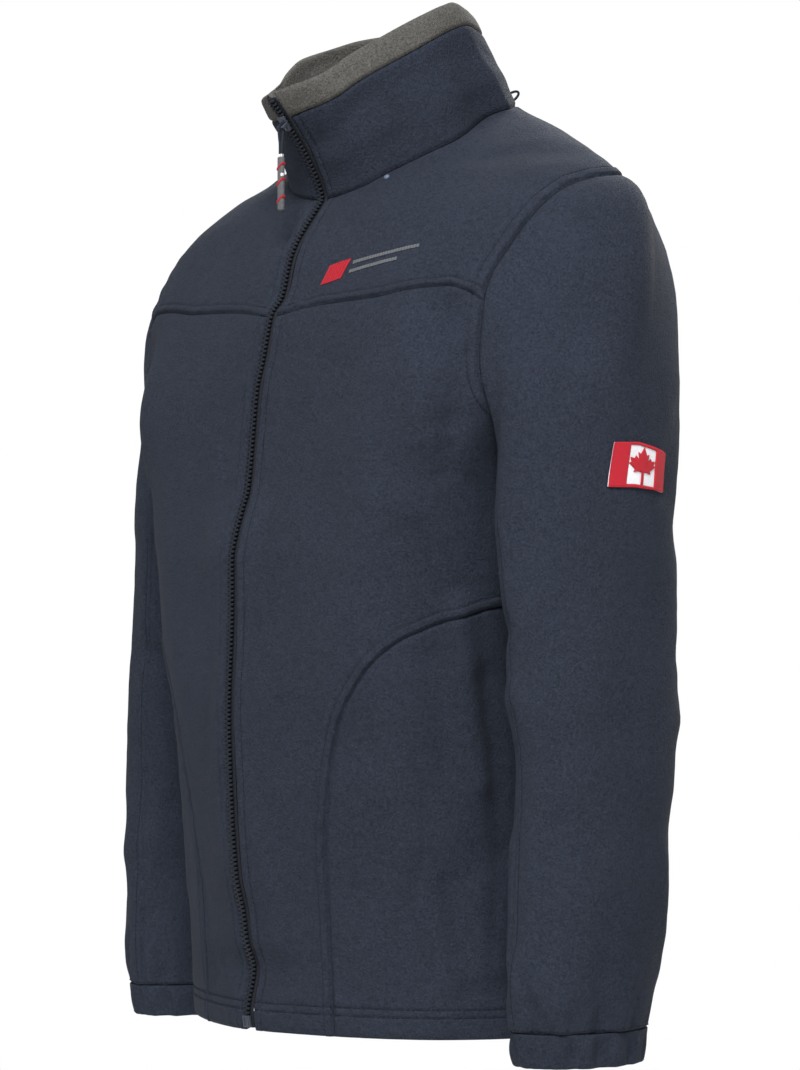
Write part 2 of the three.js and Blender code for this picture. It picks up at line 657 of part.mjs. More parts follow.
// One piece of the body, from its grid of places.
function bodyPiece(name, side, places) {
  const outer = places.map((row) => row.map(({ turn, z }) => bodyPoint(side * turn, z)));
  const seam = places.map((row) =>
    row.map((place) => {
      const shared = thicknessAt[side].get(keyOf(place));
      if (shared) return shared;
      const layers = place.isHem ? HEM_LAYERS : FLEECE;
      return { inward: bodyNormal(side * place.turn, place.z).multiplyScalar(-layers), spread: 1 };
    }),
  );
  addPiece(name, clothWall(outer, seam, false), COLOURS.navy);
}

const SIDES = [
  { side: 1, name: "left" },
  { side: -1, name: "right" },
];

const hemLine = (fromTurn, toTurn, cells) =>
  evenly((share) => ({ turn: mix(fromTurn, toTurn, share), z: HEM_TOP }), cells);

// The front: bounded by the zip, the pocket seam, the side seam, the armhole and the yoke seam.
const frontTop = joined(seams.yoke, seams.lowerArmhole, reversed(seams.upperSide));
const frontOuterEdge = joined(seams.pocketUpright, seams.pocketArc);
const zipBelowYoke = climb(zipTurn, yokeStart.z, frontOuterEdge.length - 1);
const frontHem = hemLine(zipBelowYoke[0].turn, frontOuterEdge[0].turn, frontTop.length - 1);
const frontPlaces = withHem(patchPlaces(frontHem, frontTop, zipBelowYoke, frontOuterEdge), true);
const pocketHem = hemLine(seams.pocketUpright[0].turn, SIDE_TURN, CELLS.pocketArc);
const pocketPlaces = patchPlaces(pocketHem, seams.pocketArc, seams.pocketUpright, seams.lowerSide);
const yokeInnerEdge = joined(seams.zipAboveYoke, seams.neckFront);
const yokePlaces = patchPlaces(seams.yoke, seams.shoulder, yokeInnerEdge, reversed(seams.frontArmhole));
for (const { side, name } of SIDES) {
  bodyPiece(`front_${name}`, side, frontPlaces);
  bodyPiece(`pocket_panel_${name}`, side, withHem(pocketPlaces, false));
  bodyPiece(`yoke_${name}`, side, yokePlaces);
}

// The back: one piece, worked out on the left from the side seam to the centre back and mirrored.
const mirrored = ({ turn, z, isHem }) => ({ turn: 360 - turn, z, isHem });
const backEdge = joined(seams.lowerSide, seams.upperSide, seams.backArmhole);
const backTop = joined(reversed(seams.shoulder), seams.neckBack);
const backMiddle = climb(() => 180, backTop.at(-1).z, backEdge.length - 1);
const backHem = hemLine(SIDE_TURN, 180, backTop.length - 1);
const halfBack = withHem(patchPlaces(backHem, backTop, backEdge, backMiddle), false);
for (const place of [...ring, ...seams.neckBack]) {
  thicknessAt[1].set(keyOf(mirrored(place)), thicknessAt[-1].get(keyOf(place)));
}
const backPlaces = halfBack.map((row) => [...row, ...reversed(row.slice(0, -1)).map(mirrored)]);
bodyPiece("back", 1, backPlaces);

// The middle of a sleeve at a height, and its level section there, at degrees round it.
function sleeveMiddle(side, z) {
  const setback = side < 0 ? RIGHT_SLEEVE_SETBACK : 0;
  return new THREE.Vector3(side * sleeveAt.x(z), sleeveAt.y(z) + setback, z);
}
function sleeveSection(side, round, z) {
  const outwards = Math.cos(round * DEGREE);
  const forwards = Math.sin(round * DEGREE);
  const reachX = outwards > 0 ? sleeveAt.out(z) : sleeveAt.in(z);
  const reachY = forwards > 0 ? sleeveAt.fore(z) : sleeveAt.aft(z);
  return sleeveMiddle(side, z).add(new THREE.Vector3(side * reachX * outwards, -reachY * forwards, 0));
}

// The degrees round the sleeve that belong to each place of the armhole: 0 at the shoulder, 180 at the armpit.
const armpitIndex = seams.frontArmhole.length - 1 + seams.lowerArmhole.length - 1;
const roundOf = (index) =>
  index <= armpitIndex
    ? (180 * index) / armpitIndex
    : 180 + (180 * (index - armpitIndex)) / (ringCells - armpitIndex);

// The sleeve without folds. Level runs from 0 at the armhole to 1 where the head has become a plain tube, and on
// to 2 at the cuff.
function sleeveForm(side, round, level) {
  const foot = sleeveSection(side, round, SLEEVE_HEAD_FOOT_Z);
  if (level >= 1) return sleeveSection(side, round, mix(SLEEVE_HEAD_FOOT_Z, CUFF_Z + CUFF_BAND, level - 1));
  const exact =
    round <= 180
      ? (round / 180) * armpitIndex
      : armpitIndex + ((round - 180) / 180) * (ringCells - armpitIndex);
  const index = Math.min(Math.floor(exact), ringCells - 1);
  const share = exact - index;
  const start = bodyPoint(side * ring[index].turn, ring[index].z).lerp(
    bodyPoint(side * ring[index + 1].turn, ring[index + 1].z),
    share,
  );
  const reach = start.distanceTo(foot);
  const leaving = sleeveStart(side, start.z).multiplyScalar(0.8 * reach);
  const arriving = new THREE.Vector3(0, 0, -0.9 * reach);
  const s = level;
  return start
    .multiplyScalar(1 - s * s * (3 - 2 * s))
    .addScaledVector(foot, s * s * (3 - 2 * s))
    .addScaledVector(leaving, s * (1 - s) * (1 - s))
    .addScaledVector(arriving, -s * s * (1 - s));
}

function sleevePoint(side, round, level) {
  const wrapped = ((round % 360) + 360) % 360;
  const point = sleeveForm(side, wrapped, level);
  const folds = SLEEVE_FOLDS.filter((fold) => fold.side === side);
  const place = (fold) => [fold.round * MM_PER_SLEEVE_DEGREE, fold.toRound * MM_PER_SLEEVE_DEGREE];
  const height = foldHeight(folds, wrapped * MM_PER_SLEEVE_DEGREE, point.z, place);
  if (Math.abs(height) < 0.01 || level < 0.05) return point;
  const flat = (r, l) => sleeveForm(side, ((r % 360) + 360) % 360, l);
  return point.addScaledVector(normalOf(flat, wrapped, level, 1, 0.01).multiplyScalar(side), height);
}
const sleeveNormal = (side, round, level) => {
  const surface = (r, l) => sleevePoint(side, r, l);
  return normalOf(surface, round, Math.max(level, 0.03), 2, 0.015).multiplyScalar(side);
};

for (const { side, name } of SIDES) {
  const levels = [];
  for (let k = 0; k <= CELLS.sleeveHead; k++) levels.push((k / CELLS.sleeveHead) ** 1.15);
  for (let k = 1; k <= CELLS.sleeve; k++) levels.push(1 + k / CELLS.sleeve);
  const outer = levels.map((level) =>
    ring.slice(0, ringCells).map((place, k) =>
      level === 0 ? bodyPoint(side * place.turn, place.z) : sleevePoint(side, roundOf(k), level),
    ),
  );
  const seam = levels.map((level) =>
    ring.slice(0, ringCells).map((place, k) => {
      if (level === 0) return thicknessAt[side].get(keyOf(place));
      return { inward: sleeveNormal(side, roundOf(k), level).multiplyScalar(-FLEECE), spread: 1 };
    }),
  );
  addPiece(`sleeve_${name}`, clothWall(outer, seam, true), COLOURS.navy);

  // The elastic casing: smooth where it joins the sleeve and gathered below.
  const cuffLayer = (depth) =>
    Array.from({ length: CELLS.cuffRows + 1 }, (_, j) => {
      const share = j / CELLS.cuffRows;
      const z = mix(CUFF_Z + CUFF_BAND - SEAM_GAP, CUFF_Z, share);
      return Array.from({ length: CELLS.cuffRound }, (_, i) => {
        const round = (360 * i) / CELLS.cuffRound;
        const point = sleeveSection(side, round, z);
        const outwards = point.clone().sub(sleeveMiddle(side, z)).normalize();
        const wave = Math.cos(round * DEGREE * CUFF_GATHERS) * Math.sin(share * 2.4);
        return point.addScaledVector(outwards, wave * CUFF_GATHER_DEPTH - depth);
      });
    });
  addPiece(`cuff_${name}`, wall(cuffLayer(0), cuffLayer(2 * FLEECE), true), COLOURS.navy);
}

// The collar's places round the neck, from the left front edge round the back to the right front edge.
const collarHalf = joined(seams.neckFront, seams.neckBack);
const collarRound = joined(collarHalf, reversed(collarHalf).map(mirrored));
const signedTurn = (turn) => (turn > 180 ? turn - 360 : turn);
function collarTurn(i, height) {
  if (i === 0) return turnBesideZip((turn) => collarPoint(turn, height), 1);
  if (i === collarRound.length - 1) return turnBesideZip((turn) => collarPoint(turn, height), -1);
  return signedTurn(collarRound[i].turn);
}
const bandFoot = 1 - COLLAR_BAND; // where the grey facing starts outside, as a share of the collar's height
const collarHeights = Array.from({ length: CELLS.collar + 1 }, (_, j) => (bandFoot * j) / CELLS.collar);
const collarOuter = collarHeights.map((height) =>
  collarRound.map((_, i) => collarPoint(collarTurn(i, height), height)),
);
const collarSeam = collarHeights.map((height, j) =>
  collarRound.map((place, i) => {
    const turn = collarTurn(i, height);
    if (j > 0) return { inward: collarNormal(turn, height).multiplyScalar(-FLEECE), spread: 1 };
    return seamThickness(bodyNormal(turn, place.z), collarNormal(turn, 0.06));
  }),
);
const collarLayers = clothLayers(collarOuter, collarSeam, false);
addPiece("collar", wall(collarLayers.drawn, collarLayers.inner), COLOURS.navy);

// The grey facing: a folded section swept round the collar. It lines the inside, turns over the top edge and
// ends outside in a band. Out is how far each point lies from the collar's outer surface.
const FACING_GAP = 0.5;
const FACING_FOLD = [
  { height: bandFoot + 0.006, out: -FLEECE - FACING_GAP },
  { height: bandFoot + 0.006, out: 0 },
  { height: 0.9, out: 0.5 },
  { height: 0.985, out: -0.6 },
  { height: 1, out: -2.4 },
  { height: 0.985, out: -4.2 },
  { height: 0.9, out: -5 },
  { height: bandFoot + 0.006, out: -2 * FLEECE - FACING_GAP },
];
const FACING_ROWS = [0.4, 1, 2, 3]; // the collar's rows that its lining part follows
const facingRings = collarRound.map((_, i) => {
  const lining = (depth) =>
    FACING_ROWS.map((row) => {
      const low = Math.floor(row);
      const point = collarLayers.inner[low][i].clone().lerp(collarLayers.inner[low + 1][i], row - low);
      const height = (row / CELLS.collar) * bandFoot;
      return point.addScaledVector(collarNormal(collarTurn(i, height), height + 0.05), -depth);
    });
  const fold = FACING_FOLD.map(({ height, out }) => {
    const turn = collarTurn(i, height);
    return collarPoint(turn, height).addScaledVector(collarNormal(turn, Math.min(height, 0.97)), out);
  });
  return [...lining(FACING_GAP), ...fold, ...lining(FACING_GAP + FLEECE).reverse()];
});
// A sweep whose section closes on itself, capped at both ends.
function sweep(rings) {
  const count = rings[0].length;
  const triangles = [];
  for (let r = 0; r < rings.length - 1; r++) {
    for (let i = 0; i < count; i++) {
      const a = r * count + i;
      const b = r * count + ((i + 1) % count);
      triangles.push([a, b, b + count], [a, b + count, a + count]);
    }
  }
  const cap = (start, isFlipped) => {
    const half = count / 2;
    for (let k = 0; k < half - 1; k++) {
      const quad = [start + k, start + k + 1, start + count - 2 - k, start + count - 1 - k];
      const order = isFlipped ? [...quad].reverse() : quad;
      triangles.push([order[0], order[1], order[2]], [order[0], order[2], order[3]]);
    }
  };
  cap(0, true);
  cap((rings.length - 1) * count, false);
  return solid(rings.flat(), triangles);
}
addPiece("collar_facing", sweep(facingRings), COLOURS.grey);

// The zip's middle line, up the front of the body and the collar. Its rows match those of the pieces beside it.
const zipPlaces = joined(zipBelowYoke, yokeInnerEdge.slice(0, CELLS.zipAboveYoke + 1));
const zipRows = [HEM_Z + 2, ...zipPlaces.map(({ z }) => z)];
const zipLine = zipRows.slice(0, -1).map((z) => new THREE.Vector2(bodyPoint(0, z).y, z));
for (let k = 0; k <= CELLS.tapeOnCollar; k++) {
  const point = collarPoint(0.01, (0.96 * k) / CELLS.tapeOnCollar);
  zipLine.push(new THREE.Vector2(point.y, point.z));
}
// The way out of the cloth at each of its points.
const zipOut = zipLine.map((_, k) => {
  const up = zipLine[Math.min(k + 1, zipLine.length - 1)].clone().sub(zipLine[Math.max(k - 1, 0)]).normalize();
  return new THREE.Vector2(-up.y, up.x);
});
for (const { side, name } of SIDES) {
  const layer = (depth) =>
    zipLine.map((place, k) => {
      const point = place.clone().addScaledVector(zipOut[k], -depth);
      return [0.2, TAPE_HALF_WIDTH].map((x) => new THREE.Vector3(side * x, point.x, point.y));
    });
  addPiece(`zip_tape_${name}`, wall(layer(TAPE_DEPTH), layer(TAPE_DEPTH + TAPE_THICKNESS)), COLOURS.tape);
}

// A place on the zip line, with the tilt of the line there: where the slider and the box are seated.
function seatOnZip(placeAt, at, step, standOff) {
  const place = placeAt(at).setX(0);
  const up = placeAt(at + step).sub(placeAt(at - step)).normalize();
  const out = new THREE.Vector3(0, -up.z, up.y);
  return { position: place.addScaledVector(out, standOff), out, tilt: -Math.atan2(up.y, up.z) };
}

// A solid for joining, and the join of several.
function asSolid(geometry) {
  const bare = geometry.clone();
  bare.deleteAttribute("normal");
  bare.deleteAttribute("uv");
  const merged = mergeVertices(bare, 1e-4);
  return new wasm.Manifold(
    new wasm.Mesh({
      numProp: 3,
      vertProperties: merged.attributes.position.array,
      triVerts: new Uint32Array(merged.index.array),
    }),
  );
}
function joinSolids(geometries) {
  const mesh = geometries.map(asSolid).reduce((whole, part) => whole.add(part)).getMesh();
  const geometry = new THREE.BufferGeometry();
  geometry.setAttribute("position", new THREE.BufferAttribute(mesh.vertProperties, 3));
  geometry.setIndex(new THREE.BufferAttribute(mesh.triVerts, 1));
  return geometry.toNonIndexed();
}

// The slider, in its own frame: X across, Y into the cloth and Z up the zip. The bar that holds the pull stands
// in front of it.
const SLIDER = { width: 8.4, height: 13, thickness: 3, corner: 2.5 };
const BAR_RADIUS = 0.9;
const BAR_STANDOFF = 3.7; // from the slider's face to the bar's middle
const EAR_AT = 3.2;
const EAR_WIDTH = 1.2;
function roundedPlate(width, height, thickness, corner) {
  const x = width / 2;
  const z = height / 2;
  const outline = new THREE.Shape();
  outline.moveTo(-x + corner, -z);
  outline.absarc(x - corner, -z + corner, corner, -Math.PI / 2, 0, false);
  outline.absarc(x - corner, z - corner, corner, 0, Math.PI / 2, false);
  outline.absarc(-x + corner, z - corner, corner, Math.PI / 2, Math.PI, false);
  outline.absarc(-x + corner, -z + corner, corner, Math.PI, 1.5 * Math.PI, false);
  const plate = new THREE.ExtrudeGeometry(outline, { depth: thickness, bevelEnabled: false, curveSegments: 3 });
  // The outline was drawn in X and Y: stand it up, with its thickness running into the cloth from Y = 0.
  return plate.rotateX(Math.PI / 2).translate(0, thickness, 0);
}
const ears = [-1, 1].map((end) =>
  new THREE.BoxGeometry(EAR_WIDTH, BAR_STANDOFF + BAR_RADIUS + 0.4, 2.6).translate(
    end * EAR_AT,
    -(BAR_STANDOFF + BAR_RADIUS - 0.4) / 2,
    0,
  ),
);
const bar = new THREE.CylinderGeometry(BAR_RADIUS, BAR_RADIUS, 2 * EAR_AT, 8)
  .rotateZ(Math.PI / 2)
  .translate(0, -BAR_STANDOFF, 0);
const sliderPlate = roundedPlate(SLIDER.width, SLIDER.height, SLIDER.thickness, SLIDER.corner);
const slider = addPiece("zip_slider", joinSolids([sliderPlate, ...ears, bar]), COLOURS.metal, 0.45);
const sliderSeat = seatOnZip((height) => collarPoint(0.01, height), SLIDER_SHARE, 0.05, SLIDER.thickness - 0.5);
slider.rotation.x = sliderSeat.tilt;
slider.position.copy(sliderSeat.position);

// The pull hangs straight down from the bar.
const hinge = sliderSeat.position.clone().addScaledVector(sliderSeat.out, BAR_STANDOFF);
const EYE_OUTER = 2.9;
const EYE_INNER = 1.4;
const PULL_THICKNESS = 2.2;
const eye = new THREE.Shape();
const neckAngle = Math.asin(PULL_THICKNESS / 2 / EYE_OUTER);
// Drawn in Y and Z, seen from the wearer's left: a ring with a flat strap below it.
eye.absarc(0, 0, EYE_OUTER, -Math.PI / 2 + neckAngle, 1.5 * Math.PI - neckAngle, false);
eye.lineTo(-PULL_THICKNESS / 2, -PULL_LOOP_LENGTH);
eye.lineTo(PULL_THICKNESS / 2, -PULL_LOOP_LENGTH);
const hole = new THREE.Path();
hole.absarc(0, 0, EYE_INNER, 0, 2 * Math.PI, true);
eye.holes.push(hole);
const EYE_WIDTH = 4.2;
const pullLoop = new THREE.ExtrudeGeometry(eye, { depth: EYE_WIDTH, bevelEnabled: false, curveSegments: 8 });
pullLoop.translate(0, 0, -EYE_WIDTH / 2);
// Turn the drawing's X to Y, its Y to Z and its depth to X.
pullLoop.applyMatrix4(new THREE.Matrix4().set(0, 0, 1, 0, 1, 0, 0, 0, 0, 1, 0, 0, 0, 0, 0, 1));
const loopMesh = addPiece("pull_loop", pullLoop, COLOURS.tape, 0.7);
loopMesh.position.copy(hinge);
const pullTab = roundedPlate(8, PULL_TAB_LENGTH, 3.4, 1.6);
const tabMesh = addPiece("pull_tab", pullTab, COLOURS.cord, 0.8);
tabMesh.position.copy(hinge).add(new THREE.Vector3(0, -1.7, -PULL_LOOP_LENGTH - SEAM_GAP - PULL_TAB_LENGTH / 2));

// The box at the foot of the zip.
const ZIP_BOX = { width: 8, height: 9, thickness: 2.6, corner: 1.2 };
const boxPlate = roundedPlate(ZIP_BOX.width, ZIP_BOX.height, ZIP_BOX.thickness, ZIP_BOX.corner);
const boxMesh = addPiece("zip_box", boxPlate, COLOURS.metal, 0.5);
const boxSeat = seatOnZip((z) => bodyPoint(0, z), HEM_Z + 7, 4, ZIP_BOX.thickness - TAPE_DEPTH + SEAM_GAP);
boxMesh.rotation.x = boxSeat.tilt;
boxMesh.position.copy(boxSeat.position);

// The patch lies on the left sleeve: the sleeve's own points, moved out.
const PATCH_COLUMNS = 8;
const PATCH_ROWS = 3;
const patchLevelAt = (z) => {
  let level = 0.5;
  for (let i = 0; i < 8; i++) level += (sleeveForm(1, 0, level).z - z) / 260;
  return level;
};
function patchLayer(out) {
  return Array.from({ length: PATCH_ROWS + 1 }, (_, j) =>
    Array.from({ length: PATCH_COLUMNS + 1 }, (_, i) => {
      const level = patchLevelAt(PATCH_Z + PATCH_HEIGHT * (j / PATCH_ROWS - 0.5));
      const round = PATCH_ROUND + (0.5 - i / PATCH_COLUMNS) * (PATCH_WIDTH / 1.35);
      return sleevePoint(1, round, level).addScaledVector(sleeveNormal(1, round, level), out);
    }),
  );
}
addPiece("flag_patch", wall(patchLayer(1.5), patchLayer(0.35)), COLOURS.flag, 0.8);

// A small bead on the left yoke, under the collar.
const BEAD = { turn: 34.5, z: -62, radius: 2.4, height: 1.6 };
const beadProfile = [
  new THREE.Vector2(0, 0),
  new THREE.Vector2(BEAD.radius, 0),
  new THREE.Vector2(BEAD.radius * 0.75, BEAD.height * 0.75),
  new THREE.Vector2(0, BEAD.height),
];
const beadMesh = addPiece("yoke_bead", new THREE.LatheGeometry(beadProfile, 10), COLOURS.bead, 0.3);
const beadNormal = bodyNormal(BEAD.turn, BEAD.z);
beadMesh.quaternion.setFromUnitVectors(new THREE.Vector3(0, 1, 0), beadNormal);
beadMesh.position.copy(bodyPoint(BEAD.turn, BEAD.z).addScaledVector(beadNormal, SEAM_GAP));

// A small cord loop that stands out of the neck seam at the back, on the left.
const LOOP = { turn: 128, radius: 1, reach: 7, height: 7 };
const loopFoot = collarPoint(LOOP.turn, 0.05);
const loopOut = collarNormal(LOOP.turn, 0.06);
const loopUp = new THREE.Vector3(0, 0, 1);
class LoopCurve extends THREE.Curve {
  getPoint(share, target = new THREE.Vector3()) {
    const angle = Math.PI * share;
    return target
      .copy(loopFoot)
      .addScaledVector(loopOut, SEAM_GAP + LOOP.reach * Math.sin(angle))
      .addScaledVector(loopUp, LOOP.height * 0.5 * (1 - Math.cos(angle)));
  }
}
const cordSection = new THREE.Shape();
cordSection.absarc(0, 0, LOOP.radius, 0, 2 * Math.PI, false);
const loopCord = new THREE.ExtrudeGeometry(cordSection, {
  steps: 10,
  curveSegments: 3,
  bevelEnabled: false,
  extrudePath: new LoopCurve(),
});
addPiece("neck_loop", loopCord, COLOURS.tape, 0.8);

export default group;
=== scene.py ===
"""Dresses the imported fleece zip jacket: sewn cloth, stitches, zip, patch and pull, on a plain stage.

Lengths in the tables are millimetres in the frame's own axes: +Z up, the front faces -Y and
the wearer's left is +X.
"""
import json
import math

import bpy
import numpy as np
from bpy.props import FloatProperty, FloatVectorProperty, PointerProperty
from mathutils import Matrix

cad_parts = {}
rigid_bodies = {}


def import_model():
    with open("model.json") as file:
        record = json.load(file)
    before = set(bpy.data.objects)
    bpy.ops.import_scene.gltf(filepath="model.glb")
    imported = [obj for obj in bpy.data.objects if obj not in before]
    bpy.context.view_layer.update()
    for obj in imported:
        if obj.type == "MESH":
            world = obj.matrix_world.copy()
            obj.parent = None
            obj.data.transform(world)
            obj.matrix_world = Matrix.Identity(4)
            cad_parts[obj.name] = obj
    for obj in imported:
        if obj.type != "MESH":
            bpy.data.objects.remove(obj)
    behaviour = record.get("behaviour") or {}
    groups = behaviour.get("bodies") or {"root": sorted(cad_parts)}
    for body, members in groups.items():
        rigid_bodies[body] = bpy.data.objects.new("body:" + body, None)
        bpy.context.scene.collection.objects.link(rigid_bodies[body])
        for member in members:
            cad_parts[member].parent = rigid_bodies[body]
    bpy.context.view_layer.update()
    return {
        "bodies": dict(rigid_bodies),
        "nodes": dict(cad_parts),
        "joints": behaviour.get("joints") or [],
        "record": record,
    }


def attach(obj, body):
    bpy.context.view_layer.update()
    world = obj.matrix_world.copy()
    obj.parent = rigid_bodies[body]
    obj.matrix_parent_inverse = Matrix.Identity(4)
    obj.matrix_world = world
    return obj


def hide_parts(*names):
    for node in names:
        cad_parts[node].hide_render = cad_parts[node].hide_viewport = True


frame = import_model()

bl_info = {
    "name": "Fleece Zip Jacket",
    "version": (1, 0, 0),
    "blender": (4, 5, 0),
    "location": "View3D > Sidebar > Jacket",
    "description": "Sews the fleece jacket over its packed solids",
    "category": "Object",
}

MM = 0.001
SIDES = {"left": 1, "right": -1}

# The body's level sections: height, half width, front, back, middle, squareness in front and behind.
BODY_ROWS = [
    (-705, 176, -160, 112, -35, 2, 2.1),
    (-600, 174, -168, 104, -40, 2, 2.1),
    (-500, 172, -177, 98, -45, 2.1, 2.1),
    (-420, 176, -178, 98, -50, 2.5, 2.1),
    (-357, 181, -174, 104, -50, 2.8, 2.1),
    (-300, 186, -166, 112, -46, 3.5, 2.1),
    (-240, 208, -161, 118, -28, 3.9, 2.3),
    (-190, 224, -150, 120, -14, 3.6, 2.4),
    (-150, 230, -136, 118, -6, 3.7, 2.3),
    (-110, 230, -118, 111, 4, 3.2, 2.2),
    (-90, 227, -108, 106, 8, 2.7, 2),
    (-75, 222, -99, 98, 8, 2.2, 1.8),
    (-62, 211, -91, 92, 8, 1.85, 1.7),
    (-47, 186, -81, 90, 10, 1.5, 1.7),
    (-35, 162, -62, 86, 12, 1.6, 1.8),
    (-20, 128, -33, 80, 15, 1.7, 2),
    (-8, 98, -4, 74, 18, 1.8, 2),
    (0, 81, 8, 70, 20, 1.9, 2),
    (8, 70, 12, 66, 20, 2, 2),
]
# The centre-front line, buckled by the stiff zip: height, how far forward.
FRONT_LINE_ROWS = [
    (-705, -166), (-692, -168), (-658, -162), (-637, -169), (-616, -172), (-588, -179), (-524, -184),
    (-466, -186), (-384, -183), (-351, -183), (-331, -179), (-313, -173), (-299, -168), (-246, -162),
    (-220, -159), (-202, -154), (-184, -150), (-164, -145), (-153, -136), (-119, -126), (-75, -96),
    (-40, -70),
]
# The camera: degrees to the wearer's left, its height in metres and its shift in the photo's pixels.
CAMERA_TURN, CAMERA_Z = 50, -0.396
CAMERA_SHIFT, PHOTO_HEIGHT = (-18, 85), 1070
# How strongly the tables of folds and creases show, and the gathers above the cuffs.
BODY_FOLD_GAIN, BODY_CREASE_GAIN = 1.25, 1.9
SLEEVE_FOLD_GAIN, SLEEVE_CREASE_GAIN, GATHER_GAIN = 1.3, 2.2, 1.7
# Folds of the body: turn and height at both ends, width, and how high the ridge stands. A trough is negative.
BODY_FOLDS = [
    (57, -172, 63, -250, 13, -4.5), (50, -180, 58, -262, 16, 3), (73, -392, 79, -515, 11, 4.5),
    (80, -440, 84, -565, 12, -4), (66, -425, 70, -505, 12, -2.5), (77, -595, 76, -652, 12, 3.5),
    (69, -590, 73, -668, 10, -3), (52, -320, 37, -455, 22, 2.5), (-58, -182, -64, -258, 13, -4),
    (-51, -205, -57, -280, 15, 2.5), (-75, -405, -81, -528, 12, 4), (-84, -430, -82, -572, 12, -3.5),
    (-67, -455, -72, -540, 13, -2.5), (-78, -615, -75, -670, 11, 3), (-42, -350, -33, -500, 24, 2),
    (148, -205, 144, -400, 22, 3), (-152, -235, -147, -450, 24, 3), (172, -430, 178, -640, 26, -3),
    (116, -420, 160, -452, 14, 3.5), (-114, -396, -156, -430, 15, 3), (124, -470, 150, -492, 12, -3),
    (-122, -540, -132, -668, 18, -3), (112, -560, 128, -680, 18, 3),
]
# Smaller creases between them, which only the cloth shows.
BODY_CREASES = [
    (62, -205, 66, -290, 6, -1.3), (54, -168, 59, -215, 6, 1.0), (44, -215, 50, -300, 13, 0.9),
    (62, -330, 70, -372, 9, -1.1), (30, -250, 38, -330, 20, -0.9), (57, -470, 61, -560, 10, 1.0),
    (60, -585, 64, -660, 7, -1.2), (83, -600, 81, -655, 7, 1.4), (14, -330, 9, -420, 12, -1.0),
    (12, -560, 16, -640, 12, 1.0), (25, -440, 21, -540, 18, 0.8), (45, -600, 42, -668, 12, -0.9),
    (-20, -260, -14, -350, 14, 1.0), (-12, -420, -16, -500, 12, -0.9), (-46, -480, -50, -600, 14, 1.0),
    (-60, -300, -66, -372, 10, -1.2), (-30, -600, -26, -668, 12, -0.9), (-62, -206, -66, -280, 6, -1.2),
    (120, -260, 128, -330, 12, -1.4), (132, -440, 162, -462, 8, -1.3), (-128, -415, -150, -428, 8, -1.2),
    (166, -150, 162, -260, 18, 1.2), (-170, -170, -168, -300, 18, -1.1), (140, -560, 136, -660, 11, 1.5),
    (-145, -520, -150, -640, 14, 1.5), (158, -600, 156, -690, 10, -1.4), (-162, -640, -164, -695, 9, 1.3),
    (104, -300, 108, -372, 9, 1.6), (-104, -310, -108, -380, 9, 1.5), (100, -500, 104, -640, 11, -1.7),
    (-100, -480, -104, -620, 11, 1.6), (172, -20, 150, -48, 12, -0.9), (-170, -24, -150, -56, 12, -0.9),
    (118, -120, 128, -200, 9, -1.6), (-118, -130, -130, -205, 9, -1.5),
]
# The neck seam on each half: turn, height.
NECKLINE = [
    (0, -75), (9, -73), (23, -67), (36, -55), (48, -44), (60, -33), (75, -15), (91, -3), (105, 2), (135, 5),
    (180, 6),
]
# The armhole seam from the shoulder down the front to the armpit and up the back: turn, height.
ARMHOLE = [
    (100, -67), (92.5, -65.8), (88, -67), (84, -70), (78.5, -77), (73, -90), (69.5, -106), (66.5, -128),
    (64.5, -146), (63.8, -165), (64.5, -198), (66.5, -221), (71, -239), (80, -251), (92, -255), (103, -247),
    (111, -225), (114, -192), (114, -155), (112, -120), (107, -88), (100, -67),
]
YOKE_ROW, ARMPIT_ROW = 9, 14
YOKE_SEAM = [(2, -166), (20, -160), (40, -158), (52, -153), (57, -152.5), (60.5, -157), (63.8, -165)]
# The curved pocket-panel seam, from the hem to the side seam: height, turn.
POCKET_SEAM = [
    (-705, 35), (-573, 35), (-531, 36.5), (-506, 38), (-482, 40.5), (-465, 43), (-448, 46.5), (-432, 50.5),
    (-419, 55), (-410, 59.5), (-403, 64.5), (-397, 69.5), (-391, 77), (-387, 83), (-385, 92),
]
POCKET_FOOT_Z, POCKET_TOP_Z = -573, -385
HEM_Z, HEM_TOP = -705, -683
SIDE_TURN, SHOULDER_TURN = 92, 100
ZIP_HALF_GAP = 5.5
# The left sleeve below the shoulder: height, middle x and y, reach outwards, inwards, forwards, backwards.
SLEEVE_ROWS = [
    (-717, 245, -53, 36, 36, 54, 54),
    (-690, 246, -53.5, 38, 38, 58, 58),
    (-669, 247, -53.5, 42, 42, 60.3, 60.3),
    (-614, 249, -49, 46, 46, 62.5, 62.5),
    (-563, 250, -45.6, 46, 46, 65, 65),
    (-527, 250, -43, 46, 46, 65.4, 65.4),
    (-454, 245, -40, 46, 44, 72, 72),
    (-410, 240, -38, 47, 42, 75, 75),
    (-330, 231, -35.5, 50, 38, 80, 80),
]
RIGHT_SLEEVE_SETBACK = 18
SLEEVE_HEAD_FOOT_Z = -330
CUFF_TOP_Z = -692
